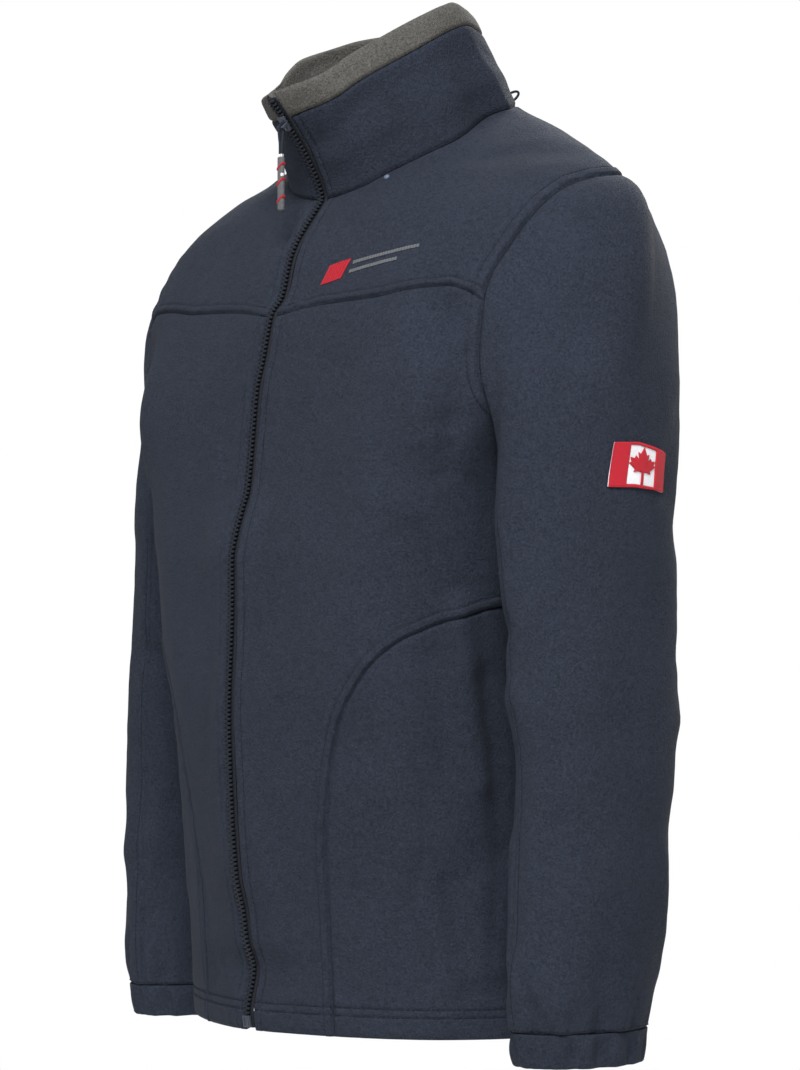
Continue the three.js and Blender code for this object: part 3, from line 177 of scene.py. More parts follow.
# Folds of each sleeve, by degrees round it: 0 is outwards, 90 forwards, 180 towards the body.
SLEEVE_FOLDS = {
    1: [
        (60, -545, 71, -648, 11, -2.5), (76, -668, 60, -690, 7, -2.5), (38, -660, 46, -690, 8, 1.6),
        (105, -400, 160, -428, 12, -3), (100, -450, 150, -466, 11, 2.5), (250, -250, 300, -330, 15, -3),
        (240, -430, 300, -470, 14, 2.5), (330, -560, 300, -650, 13, 2),
    ],
    -1: [
        (55, -560, 66, -640, 11, -2.5), (30, -670, 48, -690, 8, -2.5), (100, -420, 155, -440, 12, -3),
        (255, -265, 300, -350, 15, -3), (245, -450, 305, -482, 14, 2.5), (325, -590, 296, -660, 12, 2),
    ],
}
SLEEVE_CREASES = {
    1: [
        (84, -655, 74, -690, 5, -1.6), (52, -672, 60, -691, 4, 1.1), (96, -640, 104, -688, 7, 1.2),
        (20, -668, 14, -690, 7, -1.1), (350, -650, 356, -690, 8, 1.0), (30, -420, 44, -520, 16, 0.9),
        (70, -330, 80, -430, 14, -1.0), (120, -560, 112, -640, 10, 1.2), (150, -300, 175, -380, 12, 1.6),
        (200, -420, 236, -452, 9, -1.7), (210, -520, 250, -560, 11, 1.5), (280, -380, 300, -420, 9, -1.4),
        (270, -600, 262, -680, 9, -1.5), (225, -640, 232, -690, 7, 1.4), (318, -240, 328, -300, 12, -1.1),
        (48, -165, 60, -235, 14, -1.0), (8, -470, 356, -560, 20, -0.8), (12, -600, 20, -655, 12, -0.9),
    ],
    -1: [
        (80, -650, 72, -688, 6, -1.6), (44, -655, 50, -690, 5, 1.1), (95, -610, 100, -685, 8, 1.2),
        (15, -660, 8, -690, 7, -1.2), (28, -430, 42, -530, 16, 1.0), (72, -340, 84, -440, 13, -1.1),
        (118, -540, 110, -620, 10, 1.2), (155, -310, 178, -390, 12, 1.5), (205, -430, 240, -460, 9, -1.6),
        (215, -540, 252, -575, 11, 1.4), (285, -400, 304, -440, 9, -1.4), (268, -610, 260, -684, 9, -1.4),
        (320, -250, 332, -320, 12, -1.2), (50, -180, 62, -250, 14, -1.1), (352, -520, 4, -600, 16, 1.0),
    ],
}
TURN_MM, ROUND_MM = 3.1, 1.05  # roughly, per degree on the body and round a sleeve
# The collar's top edge, by degrees round: height on the left and on the right.
COLLAR_TOP_ROWS = [
    (0, 3, -2), (16, 9, 1), (27, 16, 4), (42, 31, 11), (60, 45, 21), (72, 54, 33), (85, 63, 44), (98, 71, 51),
    (110, 76, 57), (126, 73, 64), (145, 70, 68), (180, 69, 69),
]
COLLAR_HALF, COLLAR_MID, COLLAR_FORE, COLLAR_AFT, COLLAR_SQUARE, NECK_MID = 78, -52, 97, 87, 1.5, -8
BAND_FOOT = 0.77  # share of the collar's height where the grey band starts outside
# Soft creases of the collar: turn and share of its height at both ends, width in millimetres, height.
COLLAR_CREASES = [
    (8, 0.50, 34, 0.62, 7, -1.6), (12, 0.30, 40, 0.36, 8, 1.2), (50, 0.62, 95, 0.52, 8, -1.2),
    (60, 0.28, 110, 0.30, 9, 1.2), (128, 0.6, 175, 0.5, 8, -1.5), (-20, 0.6, -60, 0.44, 8, -1.7),
    (-16, 0.3, -50, 0.2, 8, 1.4), (-70, 0.66, -120, 0.5, 9, -1.6), (-84, 0.3, -130, 0.24, 9, 1.3),
    (-135, 0.62, -172, 0.55, 8, 1.2), (24, 0.82, 40, 0.78, 5, 0.8), (-40, 0.88, -66, 0.7, 6, 1.3),
]
SLIDER_SHARE = 0.75

PATCH_WIDTH, PATCH_HEIGHT = 60, 32
PATCH = {"width": PATCH_WIDTH, "height": PATCH_HEIGHT, "round": -5, "z": -284}
# The collar's height, and a degree of turn round it.
COLLAR_HEIGHT, COLLAR_TURN_MM = 85, 1.6
BEAD = {"turn": 34.5, "z": -62, "radius": 2.4}
NECK_LOOP_TURN = 128

# Distances of a cloth grid's lines from a seam: close together where the seam and its topstitch shape it.
SEAM_LINES = [0, 0.6, 1.2, 1.9, 2.8, 4, 5.2, 6.2, 7, 7.7, 8.4, 9.1, 9.8, 10.8, 12.5]
HEM_LINES = [0, 0.7, 1.6, 3, 5.5, 9, 12.5, 14.2, 15.2, 16, 16.8, 17.8, 19, 20.2, 21.2, 22, 22.8, 23.8, 25.5]


def profile(rows, column=1):
    """A smooth curve through one column of a table, against its first. It never overshoots a row."""
    at = np.array([row[0] for row in rows], float)
    value = np.array([row[column] for row in rows], float)
    slope = np.diff(value) / np.diff(at)
    tangent = np.zeros(len(at))
    tangent[0], tangent[-1] = slope[0], slope[-1]
    product = slope[:-1] * slope[1:]
    total = slope[:-1] + slope[1:]
    tangent[1:-1] = np.where(product > 0, 2 * product / np.where(product > 0, total, 1), 0)

    def curve(x):
        x = np.clip(x, at[0], at[-1])
        i = np.clip(np.searchsorted(at, x) - 1, 0, len(at) - 2)
        width = at[i + 1] - at[i]
        s = (x - at[i]) / width
        far = s * s * (3 - 2 * s)
        bend = tangent[i] * s * (s - 1) ** 2 + tangent[i + 1] * s * s * (s - 1)
        return value[i] * (1 - far) + value[i + 1] * far + width * bend

    return curve


body_half, body_front, body_back, body_mid, body_square_front, body_square_back = (
    profile(BODY_ROWS, k) for k in range(1, 7)
)
front_line = profile(FRONT_LINE_ROWS)
neck_z = profile(NECKLINE)
yoke_z = profile(YOKE_SEAM)
pocket_turn = profile(POCKET_SEAM)
sleeve_x, sleeve_y, sleeve_out, sleeve_in, sleeve_fore, sleeve_aft = (profile(SLEEVE_ROWS,
    k) for k in range(1, 7))
collar_left, collar_right = profile(COLLAR_TOP_ROWS, 1), profile(COLLAR_TOP_ROWS, 2)


def mix(a, b, share):
    return a + (b - a) * share


def unit(vectors):
    return vectors / np.maximum(np.linalg.norm(vectors, axis=-1, keepdims=True), 1e-9)


def step(x, low, high):
    """Rises smoothly from 0 at low to 1 at high."""
    s = np.clip((x - low) / (high - low), 0, 1)
    return s * s * (3 - 2 * s)


def ripple(points, wavelength, seed):
    """An uneven swell over a surface, roughly from -1 to 1."""
    chance = np.random.default_rng(seed)
    total = np.zeros(points.shape[:-1])
    for _ in range(7):
        direction = unit(chance.normal(size=3)) * 2 * math.pi / (wavelength * chance.uniform(0.7, 1.5))
        total += np.sin(points @ direction + chance.uniform(0, 2 * math.pi))
    return total / 3


def fold_height(folds, across, z, scale):
    """How high a set of folds stands at a place. Scale turns the first direction into millimetres."""
    height = np.zeros(np.broadcast(across, z).shape)
    for start, start_z, end, end_z, width, high in folds:
        run, rise = (end - start) * scale, end_z - start_z
        aside, above = (across - start) * scale, z - start_z
        along = np.clip((aside * run + above * rise) / (run * run + rise * rise), 0, 1)
        distance = np.hypot(aside - along * run, above - along * rise)
        height = height + high * np.exp(-((distance / width) ** 2))
    return height


def normals_of(surface, u, v, step_u, step_v):
    along_u = surface(u + step_u, v) - surface(u - step_u, v)
    along_v = surface(u, v + step_v) - surface(u, v - step_v)
    return unit(np.cross(along_u, along_v))


def body_form(turn, z):
    """The body without folds, at degrees from the centre front and a height."""
    angle = np.radians(turn)
    sideways, ahead = np.sin(angle), np.cos(angle)
    is_front = ahead > 0
    mid, front = body_mid(z), body_front(z)
    reach = np.where(is_front, mid - front, body_back(z) - mid)
    square = np.where(is_front, body_square_front(z), body_square_back(z))
    radius = (np.abs(ahead / reach) ** square + np.abs(sideways / body_half(z)) ** square) ** (-1 / square)
    x = radius * sideways
    y = mid - radius * ahead
    y = y + np.where(is_front, (front_line(z) - front) * np.exp(-((x / 46) ** 2)), 0)
    return np.stack(np.broadcast_arrays(x, y, z), axis=-1).astype(float)


def body_point(turn, z):
    turn = np.asarray(turn, float)
    z = np.asarray(z, float)
    centred = np.where(turn > 180, turn - 360, turn)
    folds = BODY_FOLD_GAIN * fold_height(BODY_FOLDS, centred, z, TURN_MM)
    height = folds + BODY_CREASE_GAIN * fold_height(BODY_CREASES, centred, z, TURN_MM)
    return body_form(turn, z) + normals_of(body_form, turn, z, 0.3, 0.8) * height[..., None]


def body_normal(turn, z):
    return normals_of(body_point, turn, z, 0.4, 1)


def zip_turn(z, side=1):
    """The turn at which the front's edge stands beside the zip."""
    turn = np.full(np.shape(z), 2.0 * side)
    for _ in range(6):
        turn = turn * side * ZIP_HALF_GAP / body_point(turn, z)[..., 0]
    return turn


def spaced(line, count=240):
    """Places along a line of the body, the same real distance apart."""
    share = np.linspace(0, 1, 1601)
    turn, z = np.broadcast_arrays(*line(share))
    length = path_length(body_point(turn, z))
    wanted = np.linspace(0, length[-1], count + 1)
    return np.stack([np.interp(wanted, length, turn), np.interp(wanted, length, z)], axis=-1)


def path_length(points):
    steps = np.linalg.norm(np.diff(points, axis=0), axis=-1)
    return np.concatenate([[0], np.cumsum(steps)])


def armhole_between(from_row, to_row):
    rows = np.array(ARMHOLE, float) * (TURN_MM, 1)

    def line(share):
        at = mix(from_row, to_row, share)
        i = np.minimum(at.astype(int), len(rows) - 2)
        s = (at - i)[:, None]
        before, a, b, after = (rows[np.clip(i + k, 0, len(rows) - 1)] for k in (-1, 0, 1, 2))
        from_slope, to_slope = (b - before) / 2, (after - a) / 2
        point = (
            (2 * a - 2 * b + from_slope + to_slope) * s**3
            + (3 * b - 3 * a - 2 * from_slope - to_slope) * s**2
            + from_slope * s
            + a
        )
        return point[:, 0] / TURN_MM, point[:, 1]

    return spaced(line)


def sew_lines():
    """The body's seams on the left half, each a row of places (turn, height)."""
    seams = {}
    seams["pocket_upright"] = spaced(lambda s: (pocket_turn(mix(HEM_TOP, POCKET_FOOT_Z, s)),
        mix(HEM_TOP, POCKET_FOOT_Z, s)))

    def arc(s):
        z = mix(POCKET_FOOT_Z, POCKET_TOP_Z, 1 - (1 - s) ** 2)
        return pocket_turn(z), z

    seams["pocket_arc"] = spaced(arc)
    seams["lower_side"] = spaced(lambda s: (SIDE_TURN, mix(HEM_TOP, POCKET_TOP_Z, s)))
    seams["front_armhole"] = armhole_between(0, YOKE_ROW)
    seams["lower_armhole"] = armhole_between(YOKE_ROW, ARMPIT_ROW)
    seams["back_armhole"] = armhole_between(ARMPIT_ROW, len(ARMHOLE) - 1)
    armpit_z = seams["back_armhole"][0, 1]
    seams["upper_side"] = spaced(lambda s: (SIDE_TURN, mix(POCKET_TOP_Z, armpit_z, s)))
    yoke_turn = float(zip_turn(yoke_z(2.0)))
    yoke_end = seams["lower_armhole"][0]

    def yoke(s):
        turn = mix(yoke_turn, yoke_end[0], s)
        return turn, np.where(s >= 1, yoke_end[1], yoke_z(turn))

    seams["yoke"] = spaced(yoke)
    seams["shoulder"] = spaced(lambda s: (SHOULDER_TURN,
        mix(neck_z(SHOULDER_TURN), seams["front_armhole"][0, 1], s)))
    neck_turn = float(zip_turn(neck_z(3.0)))

    def neck(from_turn, to_turn):
        return spaced(lambda s: (mix(from_turn, to_turn, s), neck_z(mix(from_turn, to_turn, s))))

    seams["neck_front"] = neck(neck_turn, SHOULDER_TURN)
    seams["neck_back"] = neck(SHOULDER_TURN, 180)

    def zip_line(from_z, to_z):
        return spaced(lambda s: (zip_turn(mix(from_z, to_z, s)), mix(from_z, to_z, s)))

    seams["zip_above_yoke"] = zip_line(seams["yoke"][0, 1], seams["neck_front"][0, 1])
    seams["zip_below_yoke"] = zip_line(HEM_TOP, seams["yoke"][0, 1])
    seams["back_middle"] = spaced(lambda s: (180, mix(HEM_TOP, neck_z(180), s)))
    for name, low, high in (
        ("front_hem", seams["zip_below_yoke"][0, 0], seams["pocket_upright"][0, 0]),
        ("pocket_hem", seams["pocket_upright"][0, 0], SIDE_TURN),
        ("back_hem", SIDE_TURN, 180),
    ):
        seams[name] = spaced(lambda s, low=low, high=high: (mix(low, high, s), HEM_TOP))
    return seams


seams = sew_lines()
ring_table = np.concatenate([seams["front_armhole"], seams["lower_armhole"][1:], seams["back_armhole"][1:]])
ring_index = np.concatenate([np.linspace(0, 10, 241), np.linspace(10, 15, 241)[1:],
    np.linspace(15, 25, 241)[1:]])


def ring_place(degrees):
    """The place on the armhole seam that belongs to degrees round the sleeve."""
    wrapped = np.mod(degrees, 360)
    index = np.where(wrapped <= 180, wrapped / 180 * 15, 15 + (wrapped - 180) / 18)
    return np.interp(index, ring_index, ring_table[:, 0]), np.interp(index, ring_index, ring_table[:, 1])


def sleeve_start(side, z):
    share = np.clip((z + 255) / (255 - 65.8), 0, 1)
    x = side * mix(0.42, 0.95, share)
    return unit(np.stack([x, 0 * x, mix(-0.91, -0.3, share**1.5)], axis=-1))


def sleeve_section(side, degrees, z):
    angle = np.radians(degrees)
    outwards, forwards = np.cos(angle), np.sin(angle)
    reach_x = np.where(outwards > 0, sleeve_out(z), sleeve_in(z))
    reach_y = np.where(forwards > 0, sleeve_fore(z), sleeve_aft(z))
    setback = RIGHT_SLEEVE_SETBACK if side < 0 else 0
    x = side * (sleeve_x(z) + reach_x * outwards)
    y = sleeve_y(z) + setback - reach_y * forwards
    return np.stack(np.broadcast_arrays(x, y, z), axis=-1).astype(float)


def sleeve_form(side, degrees, level):
    """The sleeve without folds. Level is 0 at the armhole, 1 at the foot of its head and 2 at the cuff."""
    turn, z = ring_place(degrees)
    start = body_point(side * turn, z)
    foot = sleeve_section(side, degrees, np.full(np.shape(level), float(SLEEVE_HEAD_FOOT_Z)))
    reach = np.linalg.norm(start - foot, axis=-1, keepdims=True)
    leaving = sleeve_start(side, start[..., 2]) * 0.8 * reach
    arriving = np.array([0, 0, -0.9]) * reach
    s = np.clip(level, 0, 1)[..., None]
    far = s * s * (3 - 2 * s)
    head = start * (1 - far) + foot * far + leaving * s * (1 - s) ** 2 - arriving * s * s * (1 - s)
    tube = sleeve_section(side, degrees, mix(SLEEVE_HEAD_FOOT_Z, CUFF_TOP_Z, np.clip(level, 1, 2) - 1))
    return np.where((level >= 1)[..., None], tube, head)


def gathers(side, degrees):
    """The uneven folds that elastic makes round a wrist."""
    angle = np.radians(degrees)
    wobble = np.sin(2 * angle + side) + 0.7 * np.sin(5 * angle + 2 + side)
    folds = np.cos(13 * angle + wobble) * (0.7 + 0.5 * np.sin(3 * angle + 1))
    return folds + 0.25 * np.cos(31 * angle + 1.3)


def sleeve_point(side, degrees, level):
    degrees, level = np.broadcast_arrays(np.asarray(degrees, float), np.asarray(level, float))
    point = sleeve_form(side, degrees, level)
    wrapped = np.mod(degrees, 360)
    height = SLEEVE_FOLD_GAIN * fold_height(SLEEVE_FOLDS[side], wrapped, point[..., 2], ROUND_MM)
    height = height + SLEEVE_CREASE_GAIN * fold_height(SLEEVE_CREASES[side], wrapped, point[..., 2], ROUND_MM)
    above = np.maximum(point[..., 2] - CUFF_TOP_Z, 0) / 9
    gathered = GATHER_GAIN * gathers(side, degrees) * above * np.exp(1 - above)
    height = height * step(level, 0, 0.12) + gathered
    normal = side * normals_of(lambda r, l: sleeve_form(side, r, l), degrees, level, 1, 0.01)
    return point + normal * height[..., None]


def sleeve_normal(side, degrees, level):
    return side * normals_of(lambda r, l: sleeve_point(side, r, l), degrees, np.maximum(level, 0.03), 2,
        0.015)


def collar_point(turn, height):
    """The collar's outer surface. Height is 0 at the neck seam and 1 at its top edge."""
    foot = body_point(turn, neck_z(np.abs(signed(turn))))
    round_angle = np.arctan2(foot[..., 0], NECK_MID - foot[..., 1])
    sideways, ahead = np.sin(round_angle), np.cos(round_angle)
    reach = np.where(ahead > 0, COLLAR_FORE, COLLAR_AFT)
    square = np.where(ahead > 0, COLLAR_SQUARE, 2)
    radius = (np.abs(ahead / reach) ** square + np.abs(sideways / COLLAR_HALF) ** square) ** (-1 / square)
    degrees = np.degrees(np.abs(round_angle))
    blend = 0.5 + 0.5 * np.clip(foot[..., 0] / 20, -1, 1)
    top = np.stack(
        [
            radius * sideways,
            COLLAR_MID - radius * ahead,
            mix(collar_right(degrees), collar_left(degrees), blend),
        ],
        axis=-1,
    )
    height = np.asarray(height, float)
    lean = np.maximum(height, 0) ** (1 + 0.45 * np.maximum(0, ahead))
    point = mix(foot, top, height[..., None])
    point[..., 1] = mix(foot[..., 1], top[..., 1], lean)
    return point


def collar_normal(turn, height):
    return normals_of(collar_point, turn, height, 0.5, 0.02)


def collar_folds(rows, turn, height):
    """The height of creases on the collar, whose rows give heights as shares of its own."""
    rows = [(a, b * COLLAR_HEIGHT, c, d * COLLAR_HEIGHT, width, rise) for a, b, c, d, width, rise in rows]
    return fold_height(rows, turn, height * COLLAR_HEIGHT, COLLAR_TURN_MM)


def collar_swell(turn, height):
    """How far the collar's soft creases lift it."""
    return collar_folds(COLLAR_CREASES, turn, height)


def sewn_into(normal_a, normal_b):
    """The way in where two surfaces are sewn together at an angle."""
    return -unit(normal_a + normal_b)


def armhole_inward(side, places):
    """The way in at places of the armhole, halfway between the body and the sleeve."""
    turn, z = places[:, 0], places[:, 1]
    points = body_point(side * turn, z)
    tangent = np.gradient(points, axis=0) * side
    from_sleeve = unit(np.cross(tangent, sleeve_start(side, z)))
    return sewn_into(body_normal(side * turn, z), from_sleeve)


def neck_inward(side, places):
    turn, z = side * places[:, 0], places[:, 1]
    return sewn_into(body_normal(turn, z), collar_normal(turn, np.full(len(turn), 0.06)))


class Seam:
    """A sewn edge: its line, the way in along it, and how the cloth beside it lies."""

    def __init__(self, points, inward=None, dip=1.7, welt=0.0, stitch=0.0, seed=0):
        self.points = points
        self.length = path_length(points)
        self.inward = inward
        self.dip = dip
        self.welt = welt
        self.stitch = stitch
        chance = np.random.default_rng(seed + 11)
        self.waves = [(2 * math.pi / chance.uniform(11, 34), chance.uniform(0, 6.28)) for _ in range(4)]

    def measure(self, points):
        """The distance of each point to the line, and where along the line the nearest place is."""
        flat = points.reshape(-1, 3)
        nearest = np.empty(len(flat), int)
        for start in range(0, len(flat), 4096):
            block = flat[start : start + 4096]
            gap = (block**2).sum(1)[:, None] - 2 * block @ self.points.T + (self.points**2).sum(1)[None]
            nearest[start : start + 4096] = gap.argmin(1)
        best = np.full(len(flat), 1e9)
        along = np.zeros(len(flat))
        for shift in (-1, 0):
            i = np.clip(nearest + shift, 0, len(self.points) - 2)
            a, b = self.points[i], self.points[i + 1]
            run = b - a
            share = np.clip(((flat - a) * run).sum(1) / np.maximum((run**2).sum(1), 1e-12), 0, 1)
            distance = np.linalg.norm(flat - a - run * share[:, None], axis=1)
            closer = distance < best
            best = np.where(closer, distance, best)
            along = np.where(closer, i + share, along)
        return best.reshape(points.shape[:-1]), along.reshape(points.shape[:-1])

    def pucker(self, along):
        length = np.interp(along, np.arange(len(self.points)), self.length)
        return sum(np.sin(length * wave + start) for wave, start in self.waves) / 2.2


def relief(points, normals, edges):
    """Cloth points moved to show the seams beside them, and the slight unevenness of a sewn fleece."""
    direction = normals.copy()
    dip = np.zeros(points.shape[:-1])
    raised = np.zeros_like(dip)
    groove = np.zeros_like(dip)
    for edge in edges:
        distance, along = edge.measure(points)
        if distance.min() > 30:
            continue
        dip = np.maximum(dip, edge.dip * np.exp(-((distance / 1.5) ** 2)))
        if edge.stitch:
            pucker = edge.pucker(along)
            inside = step(distance, 0.8, 3) * (1 - step(distance, edge.stitch - 0.9, edge.stitch + 1.2))
            raised = np.maximum(raised, edge.welt * inside * (1 + 0.25 * pucker))
            groove = np.maximum(groove,
                (0.95 + 0.2 * pucker) * np.exp(-(((distance - edge.stitch) / 0.85) ** 2)))
            raised += 0.16 * pucker * step(distance, 0.8,
                3) * (1 - step(distance, edge.stitch + 1, edge.stitch + 9))
        if edge.inward is not None:
            near = np.exp(-((distance / 2.4) ** 2))[..., None]
            i = np.clip(np.rint(along).astype(int), 0, len(edge.points) - 1)
            direction = unit(direction * (1 - near) - edge.inward[i] * near)
    uneven = 0.5 * ripple(points, 75, 3) + 0.16 * ripple(points, 21, 4)
    return points + direction * (uneven + raised - groove - dip)[..., None]


def edge_line(*parts):
    """One edge made of several seams, each with its share of the edge's cells."""
    total = sum(cells for _, cells in parts)
    shares, places, start = [], [], 0
    for line, cells in parts:
        shares.append((start + np.linspace(0, cells, len(line))) / total)
        places.append(line)
        start += cells
    shares, places = np.concatenate(shares), np.concatenate(places)

    def at(share):
        return np.stack([np.interp(share, shares, places[:, k]) for k in (0, 1)], axis=-1)

    return at


HEM_SHARE = 0.1


def panel(bottom, top, left, right, zip_edge=False):
    """A four-sided piece as a map from (u, v) to (turn, height). Below v = 0 is its turned-up hem."""

    def places(u, v):
        inside = np.clip(v, 0, 1)
        u3, v3 = u[..., None], inside[..., None]
        corners = mix(mix(bottom(0.0), bottom(1.0), u3), mix(top(0.0), top(1.0), u3), v3)
        place = mix(bottom(u), top(u), v3) + mix(left(inside), right(inside), u3) - corners
        below = np.clip(-v, 0, None) / HEM_SHARE
        z = place[..., 1] - below * (HEM_TOP - HEM_Z)
        turn = place[..., 0]
        if zip_edge:
            turn = turn + np.where(v < 0, (zip_turn(z) - zip_turn(place[..., 1])) * (1 - u) ** 8, 0)
        return turn, z

    return places


def grid_stations(shares, lengths, stops, head, tail, counts):
    """Where a grid's lines cross each row, given the row's length at every share."""
    marks = np.interp(stops, shares, lengths)
    wanted = []
    for k, count in enumerate(counts):
        first = np.array(head if k == 0 else [0.0], float)
        last = np.array(tail if k == len(counts) - 1 else [0.0], float)[::-1]
        room = marks[k + 1] - marks[k]
        fit = min(1, 0.8 * room / max(first[-1] + last[0], 1e-6))
        first, last = marks[k] + first * fit, marks[k + 1] - last * fit
        middle = np.linspace(first[-1], last[0], count + 1)[1:-1]
        wanted += [*(first if k == 0 else []), *middle, *last]
    return np.interp(wanted, lengths, shares)


def lay_grid(surface, places, u_stops, v_stops, u_near, v_near, cell, low=0.0):
    """A grid of (turn, height) over a panel, with its lines gathered beside its seams."""
    u_fine, v_fine = np.linspace(0, 1, 301), np.linspace(low, 1, 141)
    fine = surface(*places(*np.meshgrid(u_fine, v_fine)))
    along_u = np.stack([path_length(row) for row in fine])
    marks = np.stack([np.interp(u_stops, u_fine, row) for row in along_u])
    u_counts = [max(2, round(float(gap) / cell)) for gap in np.diff(marks, axis=1).max(0)]
    u_lines = np.stack([grid_stations(u_fine, row, u_stops, u_near[0], u_near[1],
        u_counts) for row in along_u])
    columns = surface(*places(u_lines, np.repeat(v_fine[:, None], u_lines.shape[1], 1)))
    along_v = [path_length(columns[:, i]) for i in range(columns.shape[1])]
    gaps = np.stack([np.diff(np.interp(v_stops, v_fine, line)) for line in along_v]).max(0)
    v_counts = [max(2, round(float(gap) / cell)) for gap in gaps]
    v_lines = np.stack(
        [grid_stations(v_fine, line, v_stops, v_near[0], v_near[1], v_counts) for line in along_v], axis=1
    )
    u = np.stack([np.interp(v_lines[:, i], v_fine, u_lines[:, i]) for i in range(u_lines.shape[1])], axis=1)
    return places(u, v_lines)


def select_only(piece):
    bpy.ops.object.select_all(action="DESELECT")
    piece.select_set(True)
    bpy.context.view_layer.objects.active = piece


def apply_modifier(piece, kind, **settings):
    modifier = piece.modifiers.new(kind.title(), kind)
    for name, value in settings.items():
        setattr(modifier, name, value)
    select_only(piece)
    bpy.ops.object.modifier_apply(modifier=modifier.name)


def finish_piece(piece, name, material, body="jacket", smooth=True):
    piece.name = piece.data.name = name
    piece.data.materials.clear()
    piece.data.materials.append(material)
    select_only(piece)
    if smooth:
        bpy.ops.object.shade_smooth()
    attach(piece, body)
    return piece


def cloth(name, points, material, wall=2.2, is_ring=False, layers=None, body="jacket"):
    """A sheet over a grid of points, thickened inwards. Layers is the share of that at each row."""
    rows, columns = points.shape[:2]
    bpy.ops.object.select_all(action="DESELECT")
    bpy.ops.mesh.primitive_grid_add(x_subdivisions=columns - 1, y_subdivisions=rows - 1, size=1)
    piece = bpy.context.object
    piece.data.vertices.foreach_set("co", (points * MM).ravel())
    if is_ring:
        bpy.ops.object.mode_set(mode="EDIT")
        bpy.ops.mesh.select_all(action="SELECT")
        bpy.ops.mesh.remove_doubles(threshold=2e-5)
        bpy.ops.object.mode_set(mode="OBJECT")
    if wall:
        group = ""
        if layers is not None:
            group = piece.vertex_groups.new(name="layers").name
            for row, share in enumerate(layers):
                piece.vertex_groups[group].add(range(row * columns, (row + 1) * columns), float(share),
                    "REPLACE")
        apply_modifier(
            piece, "SOLIDIFY", thickness=wall * MM, offset=-1, use_even_offset=False, vertex_group=group
        )
    return finish_piece(piece, name, material, body)


def repeat(name, piece, frames, material, body="jacket", smooth=True):
    """One modelled piece copied to each frame (centre, and its three axes as columns) in one mesh."""
    centres, axes = frames
    count = len(piece.data.vertices)
    local = np.empty(count * 3)
    piece.data.vertices.foreach_get("co", local)
    local = local.reshape(-1, 3)
    places = np.einsum("nij,vj->nvi", axes, local) + centres[:, None] * MM
    faces = [tuple(face.vertices) for face in piece.data.polygons]
    mesh = bpy.data.meshes.new(name)
    all_faces = [tuple(v + k * count for v in face) for k in range(len(centres)) for face in faces]
    mesh.from_pydata(places.reshape(-1, 3).tolist(), [], all_faces)
    copy = bpy.data.objects.new(name, mesh)
    bpy.context.collection.objects.link(copy)
    bpy.data.objects.remove(piece)
    return finish_piece(copy, name, material, body, smooth)


def body_seam(side, name, **lie):
    places = seams[name]
    return Seam(body_point(side * places[:, 0], places[:, 1]), **lie)


def down_to_hem(side, name, **lie):
    """A body seam that runs on through the turned-up hem."""
    places = seams[name]
    z = np.linspace(HEM_Z, HEM_TOP, 16)[:-1]
    turn = zip_turn(z) if name == "zip_below_yoke" else np.full(len(z), places[0, 0])
    places = np.concatenate([np.stack([turn, z], axis=-1), places])
    return Seam(body_point(side * places[:, 0], places[:, 1]), **lie)


def hem_edges(side, from_turn, to_turn):
    """The lower edge of a body panel, and the two stitched lines that its turned-up hem shows."""
    turn = np.linspace(from_turn, to_turn, 160)
    points = body_point(side * turn, np.full(160, float(HEM_Z)))
    return [
        Seam(points, dip=1.3),
        Seam(points, dip=0, stitch=16, welt=0.25, seed=side + 31),
        Seam(points, dip=0, stitch=22, welt=0.3, seed=side + 37),
    ]


def armhole_seam(side, **lie):
    points = body_point(side * ring_table[:, 0], ring_table[:, 1])
    return Seam(points, inward=armhole_inward(side, ring_table), **lie)


def neck_places():
    return np.concatenate([seams["neck_front"], seams["neck_back"][1:]])


def neck_seam(side, **lie):
    places = neck_places()
    return Seam(body_point(side * places[:, 0], places[:, 1]), inward=neck_inward(side, places), **lie)


ZIP_STITCH, YOKE_STITCH, ARMHOLE_STITCH, POCKET_STITCH, COLLAR_STITCH = 8.4, 7, 9.1, 7.7, 7
PLAIN_LINES = [0, 0.6, 1.2, 1.9, 2.8, 4.2, 6.4]


def body_cloth(name, side, grid, edges, hem=True):
    """Sews one panel of the body from its grid of places."""
    sizes = bpy.context.scene.jacket_sizes
    turn, z = grid
    points = relief(body_point(side * turn, z), body_normal(side * turn, z), edges)
    if side < 0:
        points = points[:, ::-1]
    one = sizes.fleece / sizes.hem_layers
    layers = None
    if hem:
        layers = np.full(len(points), one)
        layers[:15] = 1
    wall = (sizes.hem_layers if hem else sizes.fleece) / MM
    piece = cloth(name + "_cloth", points, material("navy_fleece"), wall, layers=layers)
    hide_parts(name)
    return piece


def front_grid(cell):
    places = panel(
        edge_line((seams["front_hem"], 1)),
        edge_line((seams["yoke"], 7), (seams["lower_armhole"], 5), (seams["upper_side"][::-1], 3)),
        edge_line((seams["zip_below_yoke"], 1)),
        edge_line((seams["pocket_upright"], 5), (seams["pocket_arc"], 12)),
        zip_edge=True,
    )
    return lay_grid(
        body_point, places, [0, 7 / 15, 12 / 15, 1], [-HEM_SHARE, 1], (SEAM_LINES, SEAM_LINES),
        (HEM_LINES, SEAM_LINES), cell, -HEM_SHARE,
    )


def pocket_grid(cell):
    places = panel(*(edge_line((seams[name], 1)) for name in ("pocket_hem", "pocket_arc", "pocket_upright",
        "lower_side")))
    return lay_grid(
        body_point, places, [0, 1], [-HEM_SHARE, 1], (PLAIN_LINES, PLAIN_LINES), (HEM_LINES, PLAIN_LINES),
        cell,
        -HEM_SHARE,
    )


